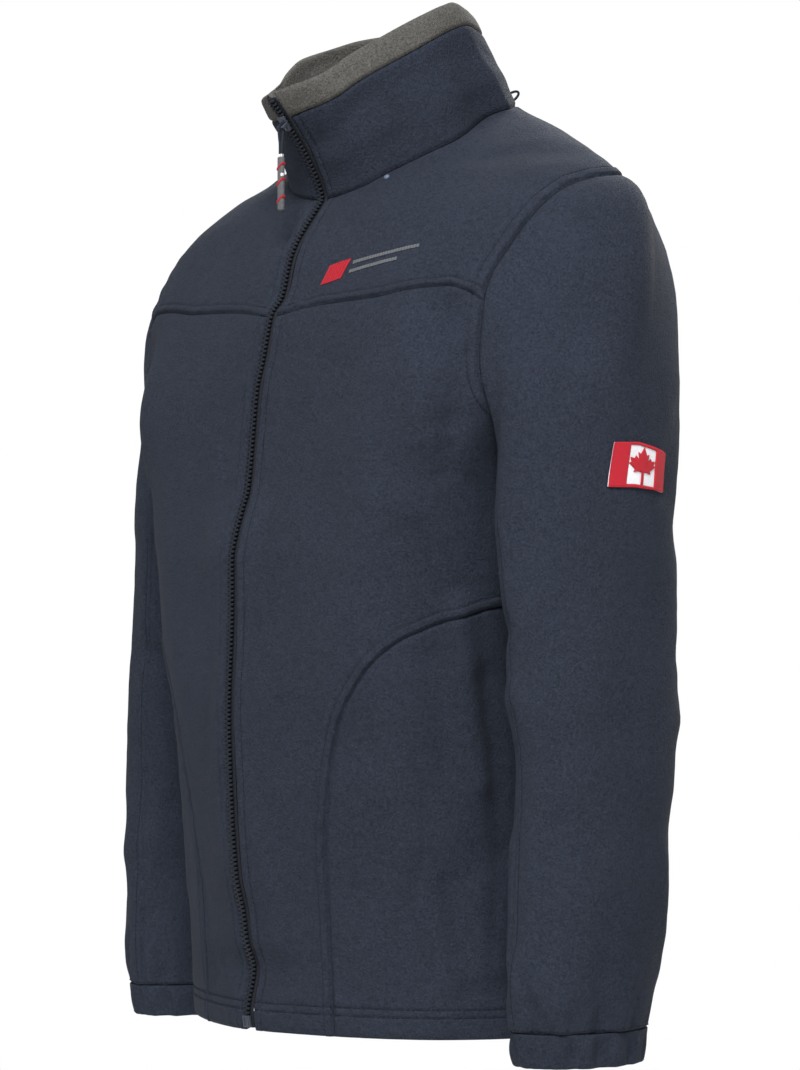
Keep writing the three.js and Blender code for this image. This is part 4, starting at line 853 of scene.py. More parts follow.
def yoke_grid(cell):
    places = panel(
        edge_line((seams["yoke"], 1)),
        edge_line((seams["shoulder"], 1)),
        edge_line((seams["zip_above_yoke"], 3), (seams["neck_front"], 7)),
        edge_line((seams["front_armhole"][::-1], 1)),
    )
    return lay_grid(
        body_point, places, [0, 1], [0, 0.3, 1], (SEAM_LINES, SEAM_LINES), (SEAM_LINES, PLAIN_LINES), cell
    )


def back_grid(cell):
    """The left half of the back, from the side seam to the centre, and the same mirrored."""
    places = panel(
        edge_line((seams["back_hem"], 1)),
        edge_line((seams["shoulder"][::-1], 7), (seams["neck_back"], 6)),
        edge_line((seams["lower_side"], 5), (seams["upper_side"], 3), (seams["back_armhole"], 10)),
        edge_line((seams["back_middle"], 1)),
    )
    turn, z = lay_grid(
        body_point, places, [0, 7 / 13, 1], [-HEM_SHARE, 8 / 18, 1], (SEAM_LINES, [0]),
        (HEM_LINES, PLAIN_LINES),
        cell, -HEM_SHARE,
    )
    return (
        np.concatenate([turn, 360 - turn[:, -2::-1]], axis=1),
        np.concatenate([z, z[:, -2::-1]], axis=1),
    )


SLEEVE_SEAM_ROUND = 106  # where each sleeve's long seam runs, in front and inside


def sleeve_surface(side, degrees, level):
    """The dressed surface of a sleeve: its form, its seams and its unevenness."""
    points = sleeve_point(side, degrees, level)
    return relief(points, sleeve_normal(side, degrees, level), sleeve_edges(side))


def sleeve_edges(side):
    if side not in sleeve_seams:
        level = np.linspace(0.95, 2, 500)
        foot = sleeve_point(side, np.linspace(0, 360, 361), np.full(361, 2.0))
        sleeve_seams[side] = [
            armhole_seam(side, dip=1.7),
            Seam(foot, dip=1.5),
            Seam(sleeve_point(side, np.full(500, float(SLEEVE_SEAM_ROUND)), level), dip=0.9),
            Seam(sleeve_point(side, np.full(500, SLEEVE_SEAM_ROUND - 7.0), level), dip=0.5),
        ]
    return sleeve_seams[side]


sleeve_seams = {}


def sleeve_points(side, cell):
    """The grid of a whole sleeve. Its columns run round it and close on themselves."""
    lines = 2 * round(340 / cell / 2)
    degrees = np.interp(np.linspace(0, 25, lines + 1), [0, 15, 25], [0, 180, 360])
    near = [-5, -3.4, -2.2, -1.2, -0.5, 0, 0.5, 1.2, 2.2, 3.4]
    extra = np.array([SLEEVE_SEAM_ROUND + x for x in near] + [SLEEVE_SEAM_ROUND - 7 + x for x in near[:-2]])
    degrees = np.unique(np.round(np.concatenate([degrees, extra]), 2))
    degrees = degrees[np.concatenate([[True], np.diff(degrees) > 0.35])]
    fine = np.linspace(0, 2, 241)
    columns = sleeve_point(side, *np.meshgrid(degrees, fine))
    lengths = [path_length(columns[:, i]) for i in range(len(degrees))]
    count = round(np.mean([line[-1] for line in lengths]) / cell)
    head, tail = SEAM_LINES, [0, 0.6, 1.2, 1.9, 2.8, 4.2, 6]
    level = np.stack([grid_stations(fine, line, [0, 2], head, tail, [count]) for line in lengths], axis=1)
    return sleeve_surface(side, np.repeat(degrees[None], len(level), 0), level)


def cuff_points(side):
    """The elastic casing: down outside, round its edge and up inside, gathered more towards the wrist."""
    path = [(0.2, 0.55), (0.8, 0.2), (2, 0.05), (4, 0), (7, 0), (10, 0), (13, 0), (16, 0), (19, 0), (21.5, 0)]
    path += [(22.8 + 2.2 * math.sin(a),
        2.2 - 2.2 * math.cos(a)) for a in np.radians([12, 35, 60, 90, 120, 145, 168])]
    path += [(21, 4.4), (17, 4.4), (12, 4.4), (7, 4.4), (3, 4.4), (0.5, 4.3), (0.2, 2.6), (0.2, 0.55)]
    drop, inset = (np.array([p[k] for p in path])[:, None] for k in (0, 1))
    degrees = np.linspace(0, 360, 301)[None]
    share = drop / 25
    wave = gathers(side, degrees)
    amount = np.sin(np.clip(share, 0, 1) * math.pi * 0.86) ** 1.2 * step(share, 0, 0.2)
    z = CUFF_TOP_Z - drop
    point = sleeve_section(side, degrees + 0 * drop, z + 0 * degrees)
    setback = RIGHT_SLEEVE_SETBACK if side < 0 else 0
    middle = np.stack(np.broadcast_arrays(side * sleeve_x(z), sleeve_y(z) + setback, z + 0 * degrees),
        axis=-1)
    outwards = unit(point - middle)
    point = point + outwards * (2.5 * wave * amount - inset)[..., None]
    point[..., 2] -= 0.2 * gathers(side, degrees + 3) * share**2
    return point


def collar_zip_turn(height, side=1):
    turn = np.full(np.shape(height), 2.0 * side)
    for _ in range(6):
        turn = turn * side * ZIP_HALF_GAP / collar_point(turn, height)[..., 0]
    return turn


def collar_turns(height, columns):
    """The turns of the collar's grid at a row of heights, from the left front edge round to the right one."""
    half = neck_places()[:, 0]
    length = path_length(body_point(half, neck_places()[:, 1]))
    turns = np.concatenate([half, 360 - half[-2::-1]])
    along = np.concatenate([length, 2 * length[-1] - length[-2::-1]])
    near = np.array(SEAM_LINES, float)
    middle = np.linspace(near[-1], along[-1] - near[-1], columns)[1:-1]
    wanted = np.concatenate([near, middle, along[-1] - near[::-1]])
    base = np.interp(wanted, along, turns)[None]
    shift = (collar_zip_turn(height) - half[0])[:, None]
    fade = np.clip(1 - wanted / 30, 0, 1)[None] ** 2
    return base + shift * fade - shift * fade[:, ::-1]


def collar_edges(surface):
    """The collar's seams: the neck, the two edges beside the zip, and where the grey band starts."""
    edges = [neck_seam(1, dip=1.6), neck_seam(-1, dip=1.6)]
    heights = np.linspace(0, 1, 121)
    turns = collar_zip_turn(heights)
    for sign, name in ((1, 3), (-1, 5)):
        edges.append(Seam(surface(sign * turns, heights), dip=1.2, stitch=COLLAR_STITCH, welt=0.45,
            seed=name))
    round_turns = np.linspace(turns[90], 360 - turns[90], 500)
    edges.append(Seam(surface(round_turns, np.full(500, BAND_FOOT + 0.002)), dip=1.3))
    return edges


def collar_cloth_point(turn, height):
    return collar_point(turn, height) + collar_normal(turn, height) * collar_swell(signed(turn),
        height)[..., None]


def signed(turn):
    return np.where(turn > 180, turn - 360, turn)


def collar_rows():
    """Heights of the collar's rows: close together at the neck seam and at the band."""
    low = np.array(PLAIN_LINES) / 82
    middle = np.linspace(low[-1], BAND_FOOT - 0.06, 22)[1:-1]
    high = BAND_FOOT - np.array([4.2, 2.8, 1.9, 1.2, 0.6, 0]) / 82
    return np.concatenate([low, middle, high])


def collar_grid():
    heights = collar_rows()
    turns = collar_turns(heights, 220)
    level = np.repeat(heights[:, None], turns.shape[1], 1)
    return relief(collar_cloth_point(turns, level), collar_normal(turns, level),
        collar_edges(collar_cloth_point))


# The facing's way up outside, over the top edge and down inside: share of the height, distance out.
FACING_PATH = [
    (0.774, 0.0), (0.79, 0.3), (0.82, 0.55), (0.86, 0.6), (0.90, 0.5), (0.94, 0.2), (0.97, -0.3),
    (0.988, -1.0),
    (1.0, -2.5), (0.988, -4.0), (0.97, -4.5), (0.94, -4.8), (0.90, -4.9), (0.82, -4.9), (0.70, -4.9),
    (0.56, -4.9),
    (0.42, -4.9), (0.28, -4.9), (0.16, -4.9), (0.06, -4.9),
]
# Soft wrinkles of the lining, where the collar stands open.
LINING_CREASES = [
    (-12, 0.86, -44, 0.62, 6, 2.0), (-22, 0.94, -62, 0.82, 5, 1.3), (-50, 0.7, -96, 0.8, 7, 1.6),
    (-86, 0.55, -130, 0.72, 7, 1.8), (-110, 0.9, -150, 0.82, 6, 1.2), (10, 0.85, 40, 0.66, 7, 1.6),
    (60, 0.6, 110, 0.72, 8, 1.6), (120, 0.8, 176, 0.66, 7, 1.5), (-150, 0.4, -178, 0.5, 8, 1.2),
]


def facing_grid():
    control = np.array(FACING_PATH)
    length = path_length(control * (82, 1))
    rows = np.concatenate([np.linspace(0, 3, 5), np.linspace(3, length[-1], 66)[1:]])
    height, out = (np.interp(rows, length, control[:, k]) for k in (0, 1))
    kernel = np.array([1, 2, 1]) / 4
    for _ in range(2):
        out[1:-1] = np.convolve(out, kernel, "valid")
        height[1:-1] = np.convolve(height, kernel, "valid")
    turns = collar_turns(height, 220)
    level = np.repeat(height[:, None], turns.shape[1], 1)
    base = collar_point(turns, level)
    normal = collar_normal(turns, np.minimum(level, 0.97))
    swell = collar_swell(signed(turns), level)
    inside = step(-out, 2.5, 4.6)[:, None]
    wrinkle = collar_folds(LINING_CREASES, signed(turns), level)
    points = base + normal * (out[:, None] + swell - inside * np.abs(wrinkle))[..., None]
    facing = np.where(inside[..., None] > 0.5, -normal, normal)
    foot = Seam(points[0], dip=1.3)
    ends = [Seam(points[:, k], dip=0.9) for k in (0, -1)]
    return relief(points, facing, [foot, *ends])


def zip_path():
    """The zip's middle line, and the way up and out along it, at even steps."""
    z = np.linspace(HEM_Z + 2, float(neck_z(0.0)), 400)
    body = body_point(np.zeros(len(z)), z)
    height = np.linspace(0, 0.965, 80)[1:]
    line = np.concatenate([body, collar_point(np.full(len(height), 0.01), height)])
    line[:, 0] = 0
    length = path_length(line)
    even = np.linspace(0, length[-1], int(length[-1] / 1.65) + 1)
    line = np.stack([np.interp(even, length, line[:, k]) for k in range(3)], axis=-1)
    for _ in range(3):
        line[1:-1] = (line[:-2] + 2 * line[1:-1] + line[2:]) / 4
    up = unit(np.gradient(line, axis=0))
    out = np.stack([0 * up[:, 0], -up[:, 2], up[:, 1]], axis=-1)
    return line, up, out


def seat_on_zip(surface, at, reach, stand_off):
    """Where the slider or the box sits on the zip: its place and its three axes (across, in, up)."""
    place, low, high = (surface(x) for x in (at, at - reach, at + reach))
    up = unit(high - low) * (0, 1, 1)
    out = np.array([0, -up[2], up[1]])
    place = place * (0, 1, 1) + out * stand_off
    return place, np.stack([np.array([1.0, 0, 0]), -out, up], axis=-1)


def slider_seat():
    def surface(height):
        return collar_point(np.array(0.01), np.array(height))

    return seat_on_zip(surface, SLIDER_SHARE, 0.05, 2.5)


def patch_level(z):
    level = np.full(np.shape(z), 0.5)
    for _ in range(8):
        level = level + (sleeve_form(1, 0 * level, level)[..., 2] - z) / 260
    return level


def on_sleeve(across, up, out):
    """A point of the flag patch: across and up from its lower left corner, 0 to 1, and out of the cloth."""
    z = PATCH["z"] + PATCH["height"] * (up - 0.5)
    level = patch_level(z)
    degrees = PATCH["round"] + (0.5 - across) * PATCH["width"] / 1.35
    return sleeve_surface(1, degrees, level) + sleeve_normal(1, degrees, level) * np.asarray(out)[..., None]


class Nodes:
    """A short hand for building a material or a shared group."""

    def __init__(self, tree):
        self.tree = tree

    def add(self, kind, inputs=None, **settings):
        node = self.tree.nodes.new(kind)
        for name, value in settings.items():
            setattr(node, name, value)
        for name, value in (inputs or {}).items():
            socket = node.inputs[name]
            if isinstance(value, bpy.types.NodeSocket):
                self.tree.links.new(value, socket)
            else:
                socket.default_value = value
        return node

    def math(self, operation, a, b=0.0, clamp=False):
        return self.add("ShaderNodeMath", {0: a, 1: b}, operation=operation, use_clamp=clamp).outputs[0]

    def blend(self, share, a, b):
        node = self.add("ShaderNodeMix", data_type="RGBA")
        for socket, value in ((0, share), (6, a), (7, b)):
            if isinstance(value, bpy.types.NodeSocket):
                self.tree.links.new(value, node.inputs[socket])
            else:
                node.inputs[socket].default_value = value
        return node.outputs[2]


def shared_group(name, inputs, outputs):
    """A node group with named sockets, and its nodes to build it with."""
    tree = bpy.data.node_groups.new(name, "ShaderNodeTree")
    for socket, kind, value in inputs:
        made = tree.interface.new_socket(name=socket, in_out="INPUT", socket_type=kind)
        made.default_value = value
    for socket, kind in outputs:
        tree.interface.new_socket(name=socket, in_out="OUTPUT", socket_type=kind)
    nodes = Nodes(tree)
    return tree, nodes, nodes.add("NodeGroupInput").outputs, nodes.add("NodeGroupOutput").inputs


def nap_group():
    """Brushed fleece: soft pebbles of nap, fine fibres between them, and slow changes of tone. Its colour is
    painted shade in the nap's low places and painted light on its high places.
    """
    if "nap" in bpy.data.node_groups:
        return bpy.data.node_groups["nap"]
    tree, nodes, given, made = shared_group(
        "nap",
        [("Deep", "NodeSocketColor", (0, 0, 0, 1)), ("Lit", "NodeSocketColor", (1, 1, 1, 1)),
         ("Pebbles", "NodeSocketFloat", 520.0), ("Contrast", "NodeSocketFloat", 1.0)],
        [("Colour", "NodeSocketColor"), ("Height", "NodeSocketFloat"), ("Roughness", "NodeSocketFloat")],
    )
    place = nodes.add("ShaderNodeTexCoord").outputs["Object"]
    pebble = nodes.add("ShaderNodeTexNoise", {"Vector": place, "Scale": given["Pebbles"], "Detail": 2.5,
                                              "Roughness": 0.62, "Distortion": 0.6}).outputs[0]
    lump = nodes.add("ShaderNodeTexNoise", {"Vector": place, "Scale": 210.0, "Detail": 1.0}).outputs[0]
    fibre = nodes.add("ShaderNodeTexNoise", {"Vector": place, "Scale": 1900.0, "Detail": 1.0}).outputs[0]
    cloud = nodes.add("ShaderNodeTexNoise", {"Vector": place, "Scale": 11.0, "Detail": 3.0}).outputs[0]
    height = nodes.math("ADD", nodes.math("MULTIPLY", pebble, 0.76), nodes.math("MULTIPLY", lump, 0.14))
    height = nodes.math("ADD", height, nodes.math("MULTIPLY", fibre, 0.1))
    # The colour follows the nap's height: painted shade in its hollows and painted light on its tops; the
    # slow cloud adds random tone.
    tone = nodes.math("SUBTRACT", height, 0.5)
    tone = nodes.math("MULTIPLY", tone, 3.0)
    tone = nodes.math("MULTIPLY", tone, given["Contrast"])
    slow = nodes.math("MULTIPLY", nodes.math("SUBTRACT", cloud, 0.5), 0.5)
    share = nodes.math("ADD", nodes.math("ADD", tone, slow), 0.5, clamp=True)
    nodes.tree.links.new(nodes.blend(share, given["Deep"], given["Lit"]), made["Colour"])
    nodes.tree.links.new(height, made["Height"])
    rough = nodes.math("ADD", 0.88, nodes.math("MULTIPLY", fibre, 0.12))
    nodes.tree.links.new(rough, made["Roughness"])
    return tree


def weave_group():
    """A fine woven or corded ground, with its threads along one axis of the piece's own map. Its colour is
    painted shade between the threads and painted light on them, mixed with random grain.
    """
    if "weave" in bpy.data.node_groups:
        return bpy.data.node_groups["weave"]
    tree, nodes, given, made = shared_group(
        "weave",
        [("Deep", "NodeSocketColor", (0, 0, 0, 1)), ("Lit", "NodeSocketColor", (1, 1, 1, 1)),
         ("Threads", "NodeSocketFloat", 2500.0)],
        [("Colour", "NodeSocketColor"), ("Height", "NodeSocketFloat"), ("Roughness", "NodeSocketFloat")],
    )
    place = nodes.add("ShaderNodeTexCoord").outputs["Object"]
    parts = nodes.add("ShaderNodeSeparateXYZ", {"Vector": place}).outputs
    up = nodes.math("SINE", nodes.math("MULTIPLY", parts[2], given["Threads"]))
    across = nodes.math("MULTIPLY", nodes.math("ADD", parts[0], parts[1]), given["Threads"])
    threads = nodes.math("MULTIPLY", up, nodes.math("SINE", across))
    grain = nodes.add("ShaderNodeTexNoise", {"Vector": place, "Scale": 1500.0, "Detail": 2.0}).outputs[0]
    height = nodes.math("ADD", nodes.math("MULTIPLY", threads, 0.3), grain)
    # Colour from the height: painted shade between the threads and painted light on them, with random grain.
    share = nodes.math("MULTIPLY", height, 0.8, clamp=True)
    nodes.tree.links.new(nodes.blend(share, given["Deep"], given["Lit"]), made["Colour"])
    nodes.tree.links.new(height, made["Height"])
    rough = nodes.math("ADD", 0.62, nodes.math("MULTIPLY", grain, 0.3))
    nodes.tree.links.new(rough, made["Roughness"])
    return tree


def paired(colour, deep=0.55, lit=1.35):
    """A darker and a lighter one of a colour: painted shade for the low places of a surface and painted light
    for its high places.
    """
    return (*(c * deep for c in colour[:3]), 1), (*(min(1, c * lit) for c in colour[:3]), 1)


# Each finish: the colour it takes from the palette, its kind, and what it sets on the shader and its pattern.
FINISHES = {
    "navy_fleece": ("navy", "nap", {"Sheen Weight": 0.02, "Sheen Roughness": 0.5}, {"Pebbles": 620.0}, 1.0,
        0.0015),
    "grey_fleece": ("grey", "nap", {"Sheen Weight": 0.03, "Sheen Roughness": 0.5}, {"Pebbles": 620.0}, 1.0,
        0.0014),
    "navy_thread": ("thread", "weave", {"Specular IOR Level": 0.1}, {"Threads": 6000.0}, 0.4, 0.0002),
    "zip_tape": ("tape", "weave", {"Specular IOR Level": 0.1}, {"Threads": 3600.0}, 0.6, 0.0003),
    "zip_plastic": ("teeth", "moulded", {"Specular IOR Level": 0.06}, {}, 0.25, 0.0001),
    "zip_metal": ("metal", "moulded", {"Specular IOR Level": 0.25}, {}, 0.2, 0.0001),
    "pull_cord": ("cord", "weave", {"Specular IOR Level": 0.1}, {"Threads": 5200.0}, 0.8, 0.0004),
    "pull_grey": ("grip", "weave", {"Specular IOR Level": 0.1}, {"Threads": 4200.0}, 0.8, 0.0005),
    "red_thread": ("red", "weave", {"Sheen Weight": 0.02, "Specular IOR Level": 0.1}, {"Threads": 5200.0},
        0.7, 0.0003),
    "white_twill": ("white", "weave", {"Specular IOR Level": 0.1}, {"Threads": 5200.0}, 0.7, 0.0003),
    "grey_thread": ("silver", "weave", {"Specular IOR Level": 0.2}, {"Threads": 6000.0}, 0.5, 0.0002),
    "bead": ("bead", "moulded", {"Specular IOR Level": 0.3}, {}, 0.1, 0.0001),
}


def material(name):
    """The named finish, built once."""
    if f"jacket_{name}" in bpy.data.materials:
        return bpy.data.materials[f"jacket_{name}"]
    colour_name, kind, shader_values, pattern, strength, depth = FINISHES[name]
    colour = getattr(bpy.context.scene.jacket_colours, colour_name)
    made = bpy.data.materials.new(f"jacket_{name}")
    made.use_nodes = True
    made.diffuse_color = (*colour, 1)
    nodes = Nodes(made.node_tree)
    shader = made.node_tree.nodes["Principled BSDF"]
    # Painted shade and painted light of the colour, for the nap and weave patterns.
    deep, lit = paired(colour)
    if kind == "moulded":
        place = nodes.add("ShaderNodeTexCoord").outputs["Object"]
        grain = nodes.add("ShaderNodeTexNoise", {"Vector": place, "Scale": 900.0, "Detail": 3.0}).outputs[0]
        wear = nodes.add("ShaderNodeTexNoise", {"Vector": place, "Scale": 160.0, "Detail": 2.0}).outputs[0]
        outputs = {
            "Colour": nodes.blend(wear, (*(c * 0.75 for c in colour), 1),
                (*(min(1, c * 1.3) for c in colour), 1)),
            "Height": grain,
            "Roughness": nodes.math("ADD", 0.45, nodes.math("MULTIPLY", wear, 0.25)),
        }
    else:
        tree = nap_group() if kind == "nap" else weave_group()
        group = nodes.add("ShaderNodeGroup", node_tree=tree)
        group.inputs["Deep"].default_value, group.inputs["Lit"].default_value = deep, lit
        for socket, value in pattern.items():
            group.inputs[socket].default_value = value
        outputs = group.outputs
    bump = nodes.add("ShaderNodeBump", {"Strength": strength, "Distance": depth, "Height": outputs["Height"]})
    made.node_tree.links.new(outputs["Colour"], shader.inputs["Base Color"])
    made.node_tree.links.new(outputs["Roughness"], shader.inputs["Roughness"])
    made.node_tree.links.new(bump.outputs[0], shader.inputs["Normal"])
    for socket, value in shader_values.items():
        shader.inputs[socket].default_value = value
    if kind == "nap":
        shader.inputs["Sheen Tint"].default_value = (*(min(1, c * 4 + 0.1) for c in colour), 1)
        shader.inputs["Specular IOR Level"].default_value = 0.05
    return made


def tube(name, points, radius, material_name, body="jacket", sides=10, closed=False):
    """A round cord along points in millimetres, with flat caps on its ends."""
    points = np.asarray(points, float)
    curve = bpy.data.curves.new(name, "CURVE")
    curve.dimensions = "3D"
    curve.bevel_depth = radius * MM
    curve.bevel_resolution = max(1, sides // 4)
    curve.use_fill_caps = True
    spline = curve.splines.new("POLY")
    spline.points.add(len(points) - 1)
    for point, place in zip(spline.points, points * MM):
        point.co = (*place, 1)
    spline.use_cyclic_u = closed
    piece = bpy.data.objects.new(name, curve)
    bpy.context.collection.objects.link(piece)
    select_only(piece)
    bpy.ops.object.convert(target="MESH")
    return finish_piece(bpy.context.object, name, material(material_name), body)


def smooth_path(points, count):
    """A smooth line of even steps through a few points."""
    points = np.asarray(points, float)
    length = path_length(points)
    at = np.linspace(0, length[-1], count)
    return np.stack([profile(list(zip(length, points[:, k])))(at) for k in range(points.shape[1])], axis=-1)


def stitch_frames(points, normals, length, gap):
    """Frames for single stitches, end to end along a line that lies on a surface."""
    run = path_length(points)
    count = int(run[-1] / (length + gap))
    if count < 1:
        return np.zeros((0, 3)), np.zeros((0, 3, 3))
    at = (np.arange(count) + 0.5) * run[-1] / count
    centre = np.stack([np.interp(at, run, points[:, k]) for k in range(3)], axis=-1)
    before, after = (
        np.stack([np.interp(at + d, run, points[:, k]) for k in range(3)], axis=-1) for d in (-length / 2,
            length / 2)
    )
    along = unit(after - before)
    normal = unit(np.stack([np.interp(at, run, normals[:, k]) for k in range(3)], axis=-1))
    across = unit(np.cross(along, normal))
    return centre, np.stack([across, np.cross(along, across) * -1, along], axis=-1)


def beside(surface, normal_at, u, v, distance, away_from=None, towards=None, steps=(0.3, 0.8)):
    """The line on a surface that runs at a distance from the line (u, v), on the side that is asked for."""
    points = surface(u, v)
    along = unit(np.gradient(points, axis=0))
    across = unit(np.cross(normal_at(u, v), along))
    target = towards if towards is not None else away_from
    sense = np.sign(((np.asarray(target, float) - points) * across).sum(-1))
    sense = np.where(sense == 0, 1, sense) * (1 if towards is not None else -1)
    shift = across * (sense * distance)[:, None]
    by_u = (surface(u + steps[0], v) - surface(u - steps[0], v)) / (2 * steps[0])
    by_v = (surface(u, v + steps[1]) - surface(u, v - steps[1])) / (2 * steps[1])
    a, b, c = (by_u**2).sum(-1), (by_u * by_v).sum(-1), (by_v**2).sum(-1)
    p, q = (by_u * shift).sum(-1), (by_v * shift).sum(-1)
    det = np.maximum(a * c - b * b, 1e-9)
    return u + (p * c - q * b) / det, v + (q * a - p * b) / det


def trimmed(points, normals, ends):
    run = path_length(points)
    keep = (run >= ends[0]) & (run <= run[-1] - ends[1])
    return points[keep], normals[keep]


def body_row(side, places, distance, edges, ends=(0, 0), **which):
    """A row of stitches on the body at a distance from a seam."""
    turn, z = beside(body_point, body_normal, side * places[:, 0], places[:, 1], distance, **which)
    points = relief(body_point(turn, z), body_normal(turn, z), edges)
    return trimmed(points + body_normal(turn, z) * 0.2, body_normal(turn, z), ends)


def one_stitch(radius, length):
    """A single stitch: a slim rounded length of thread, in metres, lying along Z."""
    bpy.ops.object.select_all(action="DESELECT")
    bpy.ops.mesh.primitive_uv_sphere_add(segments=6, ring_count=5, radius=1)
    piece = bpy.context.object
    bpy.ops.object.mode_set(mode="EDIT")
    bpy.ops.mesh.select_all(action="SELECT")
    bpy.ops.transform.resize(value=(radius, radius, length / 2), center_override=(0, 0, 0))
    bpy.ops.object.mode_set(mode="OBJECT")
    return piece


def bevelled_block(size, bevel, segments=2):
    """A block of the size in millimetres with rounded edges, centred on the origin."""
    bpy.ops.object.select_all(action="DESELECT")
    bpy.ops.mesh.primitive_cube_add(size=1)
    piece = bpy.context.object
    bpy.ops.object.mode_set(mode="EDIT")
    bpy.ops.mesh.select_all(action="SELECT")
    bpy.ops.transform.resize(value=[s * MM for s in size], center_override=(0, 0, 0))
    bpy.ops.mesh.bevel(offset=bevel * MM, offset_type="OFFSET", segments=segments, affect="EDGES")
    bpy.ops.object.mode_set(mode="OBJECT")
    return piece


def place_piece(piece, centre, axes):
    """Moves a modelled piece's own mesh to its place in the frame, leaving its object at the origin."""
    co = np.empty(len(piece.data.vertices) * 3)
    piece.data.vertices.foreach_get("co", co)
    co = co.reshape(-1, 3) @ np.asarray(axes).T + np.asarray(centre) * MM
    piece.data.vertices.foreach_set("co", co.ravel())
    piece.data.update()
    return piece


def join_pieces(pieces):
    bpy.ops.object.select_all(action="DESELECT")
    for piece in pieces:
        piece.select_set(True)
    bpy.context.view_layer.objects.active = pieces[0]
    bpy.ops.object.join()
    return pieces[0]


class JacketSizes(bpy.types.PropertyGroup):
    """Sizes of the cloth, the stitches and the zip."""

    fleece: FloatProperty(name="Fleece", description="Thickness of one layer", default=0.0022, unit="LENGTH")
    hem_layers: FloatProperty(name="Hem", description="Thickness of the turned-up hem", default=0.0046,
        unit="LENGTH")
    cell: FloatProperty(name="Cloth grid", description="Size of a grid cell on plain cloth", default=0.0045,
        unit="LENGTH")
    stitch: FloatProperty(name="Stitch", description="Length of one stitch", default=0.003, unit="LENGTH")
    stitch_gap: FloatProperty(name="Stitch gap", description="Between two stitches", default=0.0008,
        unit="LENGTH")
    thread: FloatProperty(name="Thread", description="Radius of the thread", default=0.0003, unit="LENGTH")
    tooth: FloatProperty(name="Tooth", description="Height of one zip tooth", default=0.0019, unit="LENGTH")


def colour_property(name, description, default):
    return FloatVectorProperty(name=name, description=description, default=default, size=3, min=0, max=1,
        subtype="COLOR")


class JacketColours(bpy.types.PropertyGroup):
    """The jacket's palette."""

    navy: colour_property("Navy", "Navy fleece", (0.0088, 0.0110, 0.0166))
    grey: colour_property("Grey", "Grey fleece of the facing", (0.036, 0.0350, 0.0325))
    thread: colour_property("Thread", "Navy sewing thread", (0.0034, 0.0042, 0.0062))
    tape: colour_property("Tape", "Woven zip tape", (0.0040, 0.0048, 0.0068))
    teeth: colour_property("Teeth", "Moulded zip teeth", (0.0050, 0.0062, 0.0090))
    metal: colour_property("Slider", "Painted slider", (0.0090, 0.0120, 0.0190))
    cord: colour_property("Cord", "Cord of the pull", (0.0065, 0.0085, 0.0135))
    grip: colour_property("Grip", "Grey grip of the pull", (0.052, 0.053, 0.056))
    red: colour_property("Red", "Red thread", (0.21, 0.006, 0.012))
    white: colour_property("White", "White twill", (0.37, 0.36, 0.375))
    silver: colour_property("Silver", "Light grey thread", (0.060, 0.063, 0.068))
    bead: colour_property("Bead", "Small stud under the collar", (0.030, 0.040, 0.062))


class JacketStage(bpy.types.PropertyGroup):
    """The stage: floor, lights and camera."""

    floor: FloatProperty(name="Floor", description="Height of the floor", default=-1.45, unit="LENGTH")
    sky: FloatProperty(name="Sky", description="Strength of the light all round", default=1.0)
    key: FloatProperty(name="Key", description="Power of the large soft light", default=590.0, unit="POWER")
    fill: FloatProperty(name="Fill", description="Power of the light from the other side", default=3.0,
        unit="POWER")
    rear: FloatProperty(name="Rear", description="Power of the light behind", default=330.0, unit="POWER")
    lens: FloatProperty(name="Lens", description="Focal length in millimetres", default=133.7, subtype="NONE")
    distance: FloatProperty(name="Distance", description="From the origin to the camera", default=3.1,
        unit="LENGTH")


rows_of_stitches = []


